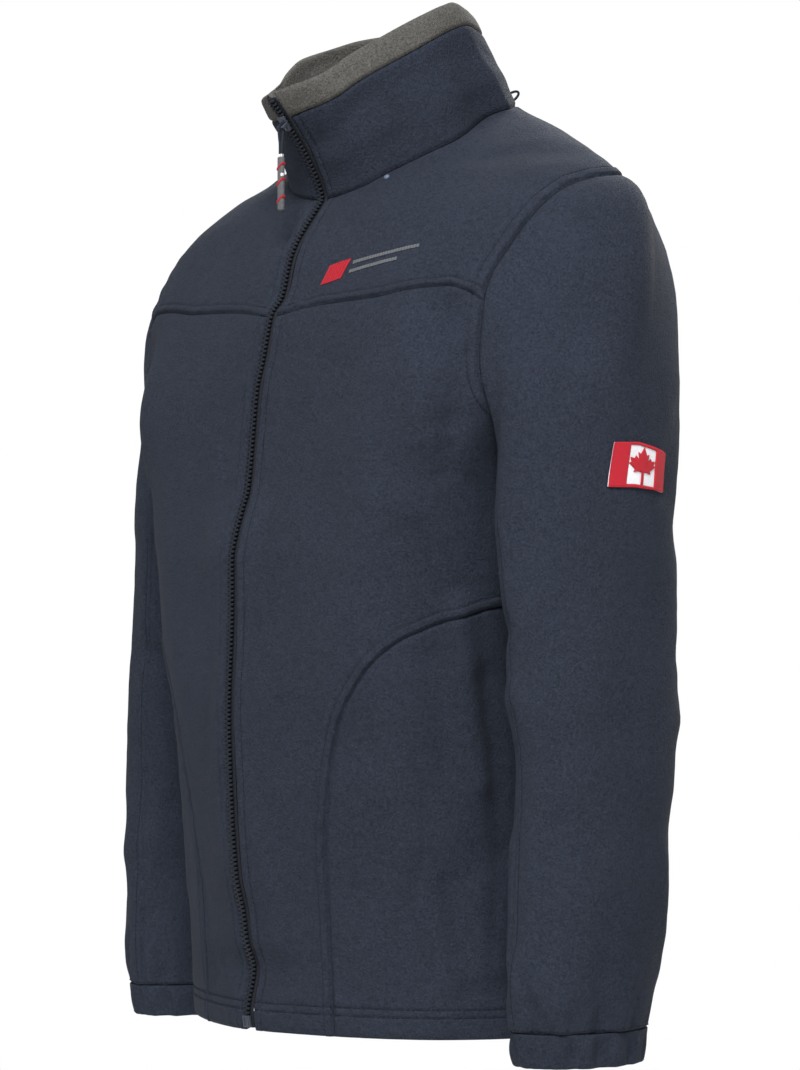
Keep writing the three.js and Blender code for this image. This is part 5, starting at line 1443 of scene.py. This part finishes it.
class JACKET_OT_body(bpy.types.Operator):
    """Sews the fronts, pocket panels, yokes and back, and marks their topstitches"""

    bl_idname = "jacket.body"
    bl_label = "Body"

    def execute(self, context):
        cell = context.scene.jacket_sizes.cell / MM
        grids = {"front": front_grid(cell), "pocket_panel": pocket_grid(cell), "yoke": yoke_grid(cell)}
        for name, side in SIDES.items():
            zip_edge = down_to_hem(side, "zip_below_yoke", dip=1.5, stitch=ZIP_STITCH, welt=0.45,
                seed=side + 1)
            pocket = down_to_hem(side, "pocket_upright", dip=1.7)
            arc = body_seam(side, "pocket_arc", dip=1.7)
            zip_turns = [seams[key][0, 0] for key in ("zip_below_yoke", "pocket_upright")]
            front_pocket = Seam(
                np.concatenate([pocket.points, arc.points[1:]]), dip=1.7, stitch=POCKET_STITCH, welt=1.1,
                seed=side + 5
            )
            armhole = armhole_seam(side, dip=1.7, stitch=ARMHOLE_STITCH, welt=1.0, seed=side + 9)
            edges = {
                "front": [zip_edge, front_pocket, armhole, body_seam(side, "yoke", dip=1.7),
                          body_seam(side, "upper_side", dip=1.5),
                          *hem_edges(side, zip_turns[0], zip_turns[1])],
                "pocket_panel": [pocket, arc, down_to_hem(side, "lower_side", dip=1.5),
                                 *hem_edges(side, zip_turns[1], SIDE_TURN)],
                "yoke": [body_seam(side, "zip_above_yoke", dip=1.5, stitch=ZIP_STITCH, welt=0.45,
                    seed=side + 2),
                         neck_seam(side, dip=1.6), armhole, body_seam(side, "shoulder", dip=1.4),
                         body_seam(side, "yoke", dip=1.7, stitch=YOKE_STITCH, welt=1.1, seed=side + 7)],
            }
            for part, grid in grids.items():
                piece = body_cloth(f"{part}_{name}", side, grid, edges[part], hem=part != "yoke")
            self.topstitch(side, edges)
        self.sew_back(context, cell)
        return {"FINISHED"}

    def topstitch(self, side, edges):
        """The rows of stitches beside the seams of one half of the front."""
        front, yoke = edges["front"], edges["yoke"]
        below = np.concatenate([[[seams["zip_below_yoke"][0, 0], HEM_Z + 2]], seams["zip_below_yoke"]])
        front_middle, yoke_middle = body_point(side * 30, -400), body_point(side * 40, -110)
        rows_of_stitches.extend([
            body_row(side, below, ZIP_STITCH, front[:1], (1, 1), towards=front_middle),
            body_row(side, seams["zip_above_yoke"], ZIP_STITCH, yoke[:1], (1, 2), towards=yoke_middle),
            body_row(side, seams["yoke"], YOKE_STITCH, yoke[4:], (9, 9), towards=yoke_middle),
            body_row(side, np.concatenate([seams["pocket_upright"], seams["pocket_arc"][1:]]), POCKET_STITCH,
                     front[1:2], (0, 16), towards=front_middle),
            body_row(side, ring_table, ARMHOLE_STITCH, front[2:3], (6, 6), away_from=(side * 225, 10, -160)),
        ])

    def sew_back(self, context, cell):
        edges = [body_seam(1, "upper_side", dip=1.5), body_seam(-1, "upper_side", dip=1.5)]
        for side in SIDES.values():
            edges += [
                down_to_hem(side, "lower_side", dip=1.5),
                armhole_seam(side, dip=1.7, stitch=ARMHOLE_STITCH, welt=1.0, seed=side + 9),
                body_seam(side, "shoulder", dip=1.4),
                neck_seam(side, dip=1.6),
            ]
        turn = np.linspace(SIDE_TURN, 360 - SIDE_TURN, 400)
        hem = body_point(turn, np.full(400, float(HEM_Z)))
        edges += [Seam(hem, dip=1.3), Seam(hem, dip=0, stitch=16, welt=0.25, seed=41),
                  Seam(hem, dip=0, stitch=22, welt=0.3, seed=43)]
        piece = body_cloth("back", 1, back_grid(cell), edges)
        for height in (16, 22):
            turns = np.concatenate([np.linspace(2.6, SIDE_TURN, 300), turn])
            turns = np.concatenate([turns, np.linspace(360 - SIDE_TURN, 357.4, 300)])
            z = np.full(len(turns), float(HEM_Z + height))
            normals = body_normal(turns, z)
            points = relief(body_point(turns, z), normals, [])
            rows_of_stitches.append((points - normals * 0.25, normals))


class JACKET_OT_sleeves(bpy.types.Operator):
    """Sews both sleeves with their long seams, and their gathered cuffs"""

    bl_idname = "jacket.sleeves"
    bl_label = "Sleeves and cuffs"

    def execute(self, context):
        sizes = context.scene.jacket_sizes
        for name, side in SIDES.items():
            points = sleeve_points(side, sizes.cell / MM)
            if side < 0:
                points = points[:, ::-1]
            piece = cloth(f"sleeve_{name}_cloth", points, material("navy_fleece"), sizes.fleece / MM,
                is_ring=True)
            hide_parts(f"sleeve_{name}")
            cuff = cuff_points(side)
            if side < 0:
                cuff = cuff[:, ::-1]
            piece = cloth(f"cuff_{name}_cloth", cuff, material("navy_fleece"), wall=0, is_ring=True)
            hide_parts(f"cuff_{name}")
            self.topstitch(side)
        return {"FINISHED"}

    def topstitch(self, side):
        level = np.linspace(0.97, 1.985, 420)
        degrees = np.full(420, SLEEVE_SEAM_ROUND - 7.0)
        points = sleeve_surface(side, degrees, level)
        rows_of_stitches.append((points + sleeve_normal(side, degrees, level) * 0.2,
            sleeve_normal(side, degrees, level)))
        turn = np.linspace(0, 360, 361)
        low = np.full(361, 1.994)
        points = sleeve_surface(side, turn, low)
        rows_of_stitches.append((points + sleeve_normal(side, turn, low) * 0.2,
            sleeve_normal(side, turn, low)))


class JACKET_OT_collar(bpy.types.Operator):
    """Sews the stand collar and its grey facing, which turns over the top edge"""

    bl_idname = "jacket.collar"
    bl_label = "Collar"

    def execute(self, context):
        sizes = context.scene.jacket_sizes
        piece = cloth("collar_cloth", collar_grid(), material("navy_fleece"), sizes.fleece / MM)
        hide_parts("collar")
        piece = cloth("collar_facing_cloth", facing_grid(), material("grey_fleece"), sizes.fleece / MM)
        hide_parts("collar_facing")
        heights = np.linspace(0.02, BAND_FOOT - 0.02, 60)
        turns = collar_zip_turn(heights)
        for sign in (1, -1):
            edge = Seam(collar_cloth_point(sign * turns, heights), dip=1.2, stitch=COLLAR_STITCH, welt=0.45,
                seed=4 - sign)
            turn, level = beside(
                collar_cloth_point, collar_normal, sign * turns, heights, COLLAR_STITCH,
                towards=collar_point(np.array(sign * 60.0), np.array(0.5)), steps=(0.5, 0.02),
            )
            normals = collar_normal(turn, level)
            rows_of_stitches.append((relief(collar_cloth_point(turn, level), normals,
                [edge]) + normals * 0.2, normals))
        return {"FINISHED"}


class JACKET_OT_stitches(bpy.types.Operator):
    """Lays single stitches along every topstitched line"""

    bl_idname = "jacket.stitches"
    bl_label = "Topstitches"

    def execute(self, context):
        sizes = context.scene.jacket_sizes
        if not rows_of_stitches:
            raise RuntimeError("Sew the cloth before its topstitches")
        frames = [stitch_frames(p, n, sizes.stitch / MM, sizes.stitch_gap / MM) for p, n in rows_of_stitches]
        centres, axes = (np.concatenate([frame[k] for frame in frames]) for k in (0, 1))
        rows_of_stitches.clear()
        piece = repeat("topstitches", one_stitch(sizes.thread, sizes.stitch), (centres, axes),
            material("navy_thread"))
        return {"FINISHED"}


class JACKET_OT_zip(bpy.types.Operator):
    """Lays the zip's tapes, its two rows of teeth, the slider and the box at its foot"""

    bl_idname = "jacket.zip"
    bl_label = "Zip"

    def execute(self, context):
        sizes = context.scene.jacket_sizes
        line, up, out = zip_path()
        middle = len(line) - 1
        for name, side in SIDES.items():
            across = np.array([0.3, 1.4, 2.6, 3.8, 4.6, 5.3])
            depth = np.array([1.0, 0.95, 0.9, 1.0, 1.3, 1.8])
            tape = line[:, None] - out[:, None] * depth[None, :, None]
            tape = tape + np.array([1.0, 0, 0]) * (side * across)[None, :, None]
            if side < 0:
                tape = tape[:, ::-1]
            piece = cloth(f"zip_tape_{name}_cloth", tape, material("zip_tape"), 0.9)
            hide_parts(f"zip_tape_{name}")
            places = np.arange(3 + (side < 0), middle, 2)
            lift = 0.35
            centres = line[places] + out[places] * lift + np.array([side * 1.35, 0, 0])
            slider_z = slider_seat()[0][2]
            opened = np.clip((centres[:, 2] - slider_z) / 22, 0, 1)
            centres[:, 0] += side * 1.2 * opened
            axes = np.stack([np.repeat([[side * 1.0, 0, 0]], len(places), 0), out[places] * side,
                up[places]], axis=-1)
            teeth = repeat(f"zip_teeth_{name}", bevelled_block((4.0, 2.3, sizes.tooth / MM), 0.35, 1),
                (centres, axes),
                           material("zip_plastic"))
        self.slider()
        self.box()
        return {"FINISHED"}

    def slider(self):
        """A wedge-shaped plate with raised rails, and the bar that holds the pull."""
        parts = []
        plate = bevelled_block((8.4, 2.0, 13), 0.7, 3)
        co = np.empty(len(plate.data.vertices) * 3)
        plate.data.vertices.foreach_get("co", co)
        co = co.reshape(-1, 3)
        co[:, 0] *= 1 - 0.22 * np.clip(-co[:, 2] / 0.0065, 0, 1)
        co[:, 1] += 0.001
        plate.data.vertices.foreach_set("co", co.ravel())
        parts.append(plate)
        for x in (-3.2, 3.2):
            ear = bevelled_block((1.2, 5.2, 2.8), 0.4, 2)
            parts.append(place_piece(ear, (x, -1.9, 0), np.eye(3)))
        rib = bevelled_block((2.2, 0.9, 9.5), 0.35, 2)
        parts.append(place_piece(rib, (0, -0.15, 0.2), np.eye(3)))
        bpy.ops.object.select_all(action="DESELECT")
        bpy.ops.mesh.primitive_cylinder_add(vertices=16, radius=0.9 * MM, depth=6.6 * MM,
            rotation=(0, math.pi / 2, 0))
        bpy.ops.object.transform_apply(location=True, rotation=True, scale=True)
        parts.append(place_piece(bpy.context.object, (0, -3.7, 0), np.eye(3)))
        slider = join_pieces(parts)
        finish_piece(slider, "zip_slider_cast", material("zip_metal"))
        place_piece(slider, *slider_seat())
        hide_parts("zip_slider")

    def box(self):
        """The moulded box at the zip's foot, with a rib on each side of its slot."""
        parts = [bevelled_block((8, 2.6, 9), 0.5, 2)]
        for x in (-2.4, 2.4):
            parts.append(place_piece(bevelled_block((1.4, 0.8, 7.4), 0.3, 2), (x, -1.45, 0), np.eye(3)))
        parts.append(place_piece(bevelled_block((0.7, 0.6, 8.4), 0.2, 1), (0, -1.35, 0), np.eye(3)))
        box = join_pieces(parts)
        finish_piece(box, "zip_box_moulded", material("zip_metal"))
        place, axes = seat_on_zip(lambda z: body_point(np.array(0.0), np.array(float(z))), HEM_Z + 7, 4, 0.6)
        place_piece(box, place, axes)
        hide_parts("zip_box")


class JACKET_OT_pull(bpy.types.Operator):
    """Hangs the cord loop and its grey grip from the slider's bar"""

    bl_idname = "jacket.pull"
    bl_label = "Zip pull"

    def execute(self, context):
        seat, axes = slider_seat()
        hinge = seat - axes[:, 1] * 3.7
        half = [(0, 0, 2.0), (0, 1.3, 1.5), (0, 1.95, 0), (0.45, 1.75, -3), (1.0, 0.8, -8), (1.25, 0, -14),
            (1.3, 0, -24)]
        loop = [(-x, -y, z) for x, y, z in half[:0:-1]] + half
        path = smooth_path(loop, 90) + hinge
        cord = tube("pull_cord_loop", path, 1.05, "pull_cord", "pull", sides=12)
        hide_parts("pull_loop")
        middle = hinge + (0, 0, -42.6)
        grip = bevelled_block((6.2, 3.4, 41), 1.3, 4)
        finish_piece(grip, "pull_grip_moulded", material("pull_grey"), "pull")
        place_piece(grip, middle, np.eye(3))
        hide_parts("pull_tab")
        wraps = []
        for z, slant in ((12.5, -2.2), (0.5, -2.4), (-12.5, -2.2)):
            for turn in range(2):
                angle = np.linspace(0, 2 * math.pi, 41)[:-1]
                squared = 0.42
                x = np.sign(np.cos(angle)) * np.abs(np.cos(angle)) ** squared * 3.3
                y = np.sign(np.sin(angle)) * np.abs(np.sin(angle)) ** squared * 1.85
                ring = np.stack([x, y, z + turn * 0.85 - slant * x / 3.3], axis=-1) + middle
                wraps.append(tube("wrap", ring, 0.42, "red_thread", "pull", sides=8, closed=True))
        wraps = join_pieces(wraps)
        finish_piece(wraps, "pull_red_wraps", material("red_thread"), "pull")
        # Three small white blocks on the grip: two on its top end and one on its face between the upper two
        # wraps.
        white_blocks = []
        for x, z in ((-1.3, 21.2), (1.3, 21.2), (2.4, 6.5)):
            white_block = bevelled_block((1.9, 2.4, 2.6), 0.6, 3)
            white_blocks.append(place_piece(white_block, middle + (x, -0.8 if z < 10 else 0, z), np.eye(3)))
        white_blocks = join_pieces(white_blocks)
        finish_piece(white_blocks, "pull_white_tips", material("white_twill"), "pull")
        return {"FINISHED"}


# The right half of the leaf's outline, about 1 wide and high, drawn from its tip down to its stem.
LEAF = [
    (0, 0.52), (0.035, 0.44), (0.085, 0.33), (0.15, 0.365), (0.12, 0.19), (0.205, 0.275), (0.235, 0.215),
    (0.345, 0.235),
    (0.305, 0.125), (0.36, 0.09), (0.205, -0.06), (0.225, -0.13), (0.09, -0.105), (0.026, -0.12),
    (0.03, -0.42), (0, -0.42),
]


class JACKET_OT_patch(bpy.types.Operator):
    """Sews the flag patch to the left sleeve: bands, leaf and a corded border"""

    bl_idname = "jacket.patch"
    bl_label = "Flag patch"

    def execute(self, context):
        across, up = np.meshgrid(np.linspace(0, 1, 97), np.linspace(0, 1, 49))
        edge = np.minimum.reduce([
            across * PATCH_WIDTH, (1 - across) * PATCH_WIDTH, up * PATCH_HEIGHT, (1 - up) * PATCH_HEIGHT,
        ])
        ground = cloth("flag_patch_ground", on_sleeve(across, up, 0.9 + 0 * edge), material("white_twill"),
            0.9)
        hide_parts("flag_patch")
        for name, low, high in (("left", 0.012, 0.262), ("right", 0.738, 0.988)):
            band_across, band_up = np.meshgrid(np.linspace(low, high, 91), np.linspace(0.02, 0.98, 61))
            away = np.minimum(band_across - low, high - band_across) * 60
            rows = 0.12 * np.abs(np.sin((band_up * 32 + 0.35 * np.sin(band_across * 300)) * math.pi / 0.9))
            lift = 1.0 + 0.55 * step(away, 0, 0.9) + rows
            band = cloth(f"flag_patch_band_{name}", on_sleeve(band_across, band_up, lift),
                material("red_thread"), 0.5)
        self.leaf()
        self.border()
        return {"FINISHED"}

    def leaf(self):
        """The raised satin leaf, as rings of stitching that shrink towards its middle."""
        outline = np.array(LEAF + [(-x, y) for x, y in LEAF[-2:0:-1]])
        closed = np.concatenate([outline, outline[:1]])
        run = path_length(closed)
        at = np.unique(np.concatenate([np.linspace(0, run[-1], 220)[:-1], run[:-1]]))
        edge = np.stack([np.interp(at, run, closed[:, k]) for k in (0, 1)], axis=-1)
        scales = np.array([1.0, 0.985, 0.96, 0.92, 0.85, 0.75, 0.63, 0.5, 0.37, 0.24, 0.12, 0.02])
        lifts = np.array([1.0, 1.35, 1.55, 1.65, 1.72, 1.75, 1.78, 1.8, 1.8, 1.8, 1.8, 1.8])
        middle = np.array([0, 0.0])
        rings = middle + (edge[None] - middle) * scales[:, None, None]
        rings = np.concatenate([rings, rings[:, :1]], axis=1)
        across = 0.5 + rings[..., 0] * 29 / 0.72 / PATCH_WIDTH
        up = 0.5 + (rings[..., 1] - 0.05) * 28 / 0.94 / PATCH_HEIGHT
        threads = 0.07 * np.sin(rings[..., 1] * 28 / 0.94 * 2 * math.pi / 0.8)
        points = on_sleeve(across, up, lifts[:, None] + threads)
        leaf = cloth("flag_patch_leaf", points[:, ::-1], material("red_thread"), wall=0, is_ring=True)

    def border(self):
        """The corded edge: slanted stitches packed side by side round the patch."""
        corners = np.array([(0.7, 0.7), (59.3, 0.7), (59.3, 31.3), (0.7, 31.3), (0.7, 0.7)])
        run = path_length(corners)
        at = np.arange(0, run[-1], 0.62)
        spot = np.stack([np.interp(at, run, corners[:, k]) for k in (0, 1)], axis=-1)
        def towards_middle(share):
            across = mix(spot[:, 0], PATCH_WIDTH / 2, 0.03 * share) / PATCH_WIDTH
            up = mix(spot[:, 1], PATCH_HEIGHT / 2, 0.06 * share) / PATCH_HEIGHT
            return on_sleeve(across, up, np.full(len(spot), 1.25))

        points, inner, outer = towards_middle(0), towards_middle(1), towards_middle(-1)
        along = unit(np.roll(points, -1, 0) - np.roll(points, 1, 0))
        out = unit(np.cross(along, outer - inner)) * -1
        across = unit(unit(outer - inner) + 0.45 * along)
        axes = np.stack([unit(np.cross(out, across)), out, across], axis=-1)
        piece = repeat("flag_patch_border", one_stitch(0.45 * MM, 2.7 * MM), (points, axes),
            material("red_thread"))


class JACKET_OT_motif(bpy.types.Operator):
    """Embroiders a plain slanted lozenge and two grey lines on the left chest"""

    bl_idname = "jacket.motif"
    bl_label = "Chest embroidery"

    def execute(self, context):
        frames, fills = [], []
        for row in np.arange(-6.6, 6.7, 0.55):
            slant = 0.0055 * row
            fills.append(self.bar(0.02 + slant, 0.30 + slant, row))
        for centre, start, end in ((3.3, 0.37, 1.0), (-3.3, 0.35, 0.84)):
            for row in np.arange(centre - 1.1, centre + 1.2, 0.62):
                frames.append(self.bar(start, end, row))
        for name, bars, finish, length in (
            ("chest_lozenge", fills, "red_thread", 3.4),
            ("chest_lines", frames, "grey_thread", 3.0),
        ):
            made = [stitch_frames(points, normals, length, -0.3) for points, normals in bars]
            centres, axes = (np.concatenate([frame[k] for frame in made]) for k in (0, 1))
            piece = repeat(name, one_stitch(0.42 * MM, length * MM), (centres, axes), material(finish))
        return {"FINISHED"}

    def bar(self, start, end, row):
        """A line of the embroidery between two shares of its length, at a height beside its middle."""
        share = np.linspace(start, end, 60)
        turn, z = 20 + 30 * share, -138 + 14 * share + row
        normals = body_normal(turn, z)
        return relief(body_point(turn, z), normals, []) + normals * 0.35, normals


class JACKET_OT_trims(bpy.types.Operator):
    """Adds the small stud under the collar and the cord loop behind the neck"""

    bl_idname = "jacket.trims"
    bl_label = "Stud and loop"

    def execute(self, context):
        turn, z = np.array(BEAD["turn"]), np.array(float(BEAD["z"]))
        normal = body_normal(turn, z)
        place = relief(body_point(turn, z)[None], normal[None], [])[0]
        bpy.ops.object.select_all(action="DESELECT")
        bpy.ops.mesh.primitive_uv_sphere_add(segments=24, ring_count=12, radius=BEAD["radius"] * MM)
        stud = bpy.context.object
        bpy.ops.object.mode_set(mode="EDIT")
        bpy.ops.mesh.select_all(action="SELECT")
        bpy.ops.transform.resize(value=(1, 1, 0.62), center_override=(0, 0, 0))
        bpy.ops.object.mode_set(mode="OBJECT")
        side = unit(np.cross([0, 0, 1], normal))
        finish_piece(stud, "yoke_stud", material("bead"))
        place_piece(stud, place + normal * 0.3, np.stack([side, np.cross(normal, side), normal], axis=-1))
        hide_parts("yoke_bead")
        foot = collar_point(np.array(float(NECK_LOOP_TURN)), np.array(0.05))
        out = collar_normal(np.array(float(NECK_LOOP_TURN)), np.array(0.06))
        angle = np.linspace(0, math.pi, 40)
        path = foot + out * (0.1 + 7 * np.sin(angle))[:, None]
        path = path + np.array([0, 0, 1]) * (3.5 * (1 - np.cos(angle)))[:, None]
        loop = tube("neck_loop_cord", path, 1.0, "pull_cord")
        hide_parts("neck_loop")
        return {"FINISHED"}


class JACKET_OT_stage(bpy.types.Operator):
    """Sets up the pale floor, the soft lights and the camera"""

    bl_idname = "jacket.stage"
    bl_label = "Stage"

    def execute(self, context):
        stage = context.scene.jacket_stage
        bpy.ops.object.select_all(action="DESELECT")
        bpy.ops.mesh.primitive_plane_add(size=6, location=(0, 0, stage.floor))
        floor = bpy.context.object
        floor.name = "floor"
        pale = bpy.data.materials.new("pale_floor")
        pale.use_nodes = True
        nodes = Nodes(pale.node_tree)
        place = nodes.add("ShaderNodeTexCoord").outputs["Object"]
        tone = nodes.add("ShaderNodeTexNoise", {"Vector": place, "Scale": 3.0, "Detail": 2.0}).outputs[0]
        shader = pale.node_tree.nodes["Principled BSDF"]
        pale.node_tree.links.new(nodes.blend(tone, (0.80, 0.80, 0.80, 1), (0.84, 0.84, 0.84, 1)),
            shader.inputs["Base Color"])
        shader.inputs["Roughness"].default_value = 0.9
        floor.data.materials.append(pale)
        world = bpy.data.worlds.new("studio")
        context.scene.world = world
        world.use_nodes = True
        background = world.node_tree.nodes["Background"]
        background.inputs["Color"].default_value = (1, 1, 1, 1)
        background.inputs["Strength"].default_value = stage.sky
        self.light("key", (2.0, -2.3, 2.6), 1.8, stage.key)
        self.light("fill", (-1.6, -2.6, 0.6), 2.0, stage.fill)
        self.light("top", (0.5, -0.2, 2.6), 1.6, stage.fill)
        self.light("rear", (-1.3, 3.0, 2.2), 2.2, stage.rear)
        camera = bpy.data.objects.new("camera", bpy.data.cameras.new("camera"))
        context.collection.objects.link(camera)
        turn = math.radians(CAMERA_TURN)
        camera.location = (stage.distance * math.sin(turn), -stage.distance * math.cos(turn), CAMERA_Z)
        camera.rotation_euler = (math.pi / 2, 0, turn)
        camera.data.sensor_fit = "VERTICAL"
        camera.data.sensor_height = 36
        camera.data.lens = stage.lens
        camera.data.shift_x, camera.data.shift_y = (pixels / PHOTO_HEIGHT for pixels in CAMERA_SHIFT)
        camera.data.clip_end = 50
        context.scene.camera = camera
        context.scene.view_settings.view_transform = "Standard"
        return {"FINISHED"}

    def light(self, name, place, size, power):
        lamp = bpy.data.lights.new(name, "AREA")
        lamp.size, lamp.energy = size, power
        lamp.shape = "DISK"
        piece = bpy.data.objects.new(name, lamp)
        bpy.context.collection.objects.link(piece)
        piece.location = place
        target = np.array([0, 0, -0.35]) - np.array(place)
        flat = math.hypot(target[0], target[1])
        piece.rotation_euler = (math.atan2(flat, -target[2]), 0, math.atan2(-target[0], target[1]))


STEPS = (
    JACKET_OT_stage, JACKET_OT_body, JACKET_OT_sleeves, JACKET_OT_collar, JACKET_OT_stitches, JACKET_OT_zip,
    JACKET_OT_pull, JACKET_OT_patch, JACKET_OT_motif, JACKET_OT_trims,
)


class JACKET_PT_panel(bpy.types.Panel):
    """The jacket's steps, in the order in which they are made"""

    bl_label = "Fleece Jacket"
    bl_idname = "JACKET_PT_panel"
    bl_space_type = "VIEW_3D"
    bl_region_type = "UI"
    bl_category = "Jacket"

    def draw(self, context):
        for step_class in STEPS:
            self.layout.operator(step_class.bl_idname)
        for group in (context.scene.jacket_sizes, context.scene.jacket_colours, context.scene.jacket_stage):
            for name in group.__annotations__:
                self.layout.prop(group, name)


CLASSES = (JacketSizes, JacketColours, JacketStage, *STEPS, JACKET_PT_panel)


def register():
    for cls in CLASSES:
        bpy.utils.register_class(cls)
    bpy.types.Scene.jacket_sizes = PointerProperty(type=JacketSizes)
    bpy.types.Scene.jacket_colours = PointerProperty(type=JacketColours)
    bpy.types.Scene.jacket_stage = PointerProperty(type=JacketStage)


def unregister():
    del bpy.types.Scene.jacket_stage, bpy.types.Scene.jacket_colours, bpy.types.Scene.jacket_sizes
    for cls in reversed(CLASSES):
        bpy.utils.unregister_class(cls)


def main():
    register()
    for step_class in STEPS:
        group, name = step_class.bl_idname.split(".")
        getattr(getattr(bpy.ops, group), name)()


if __name__ == "__main__":
    main()
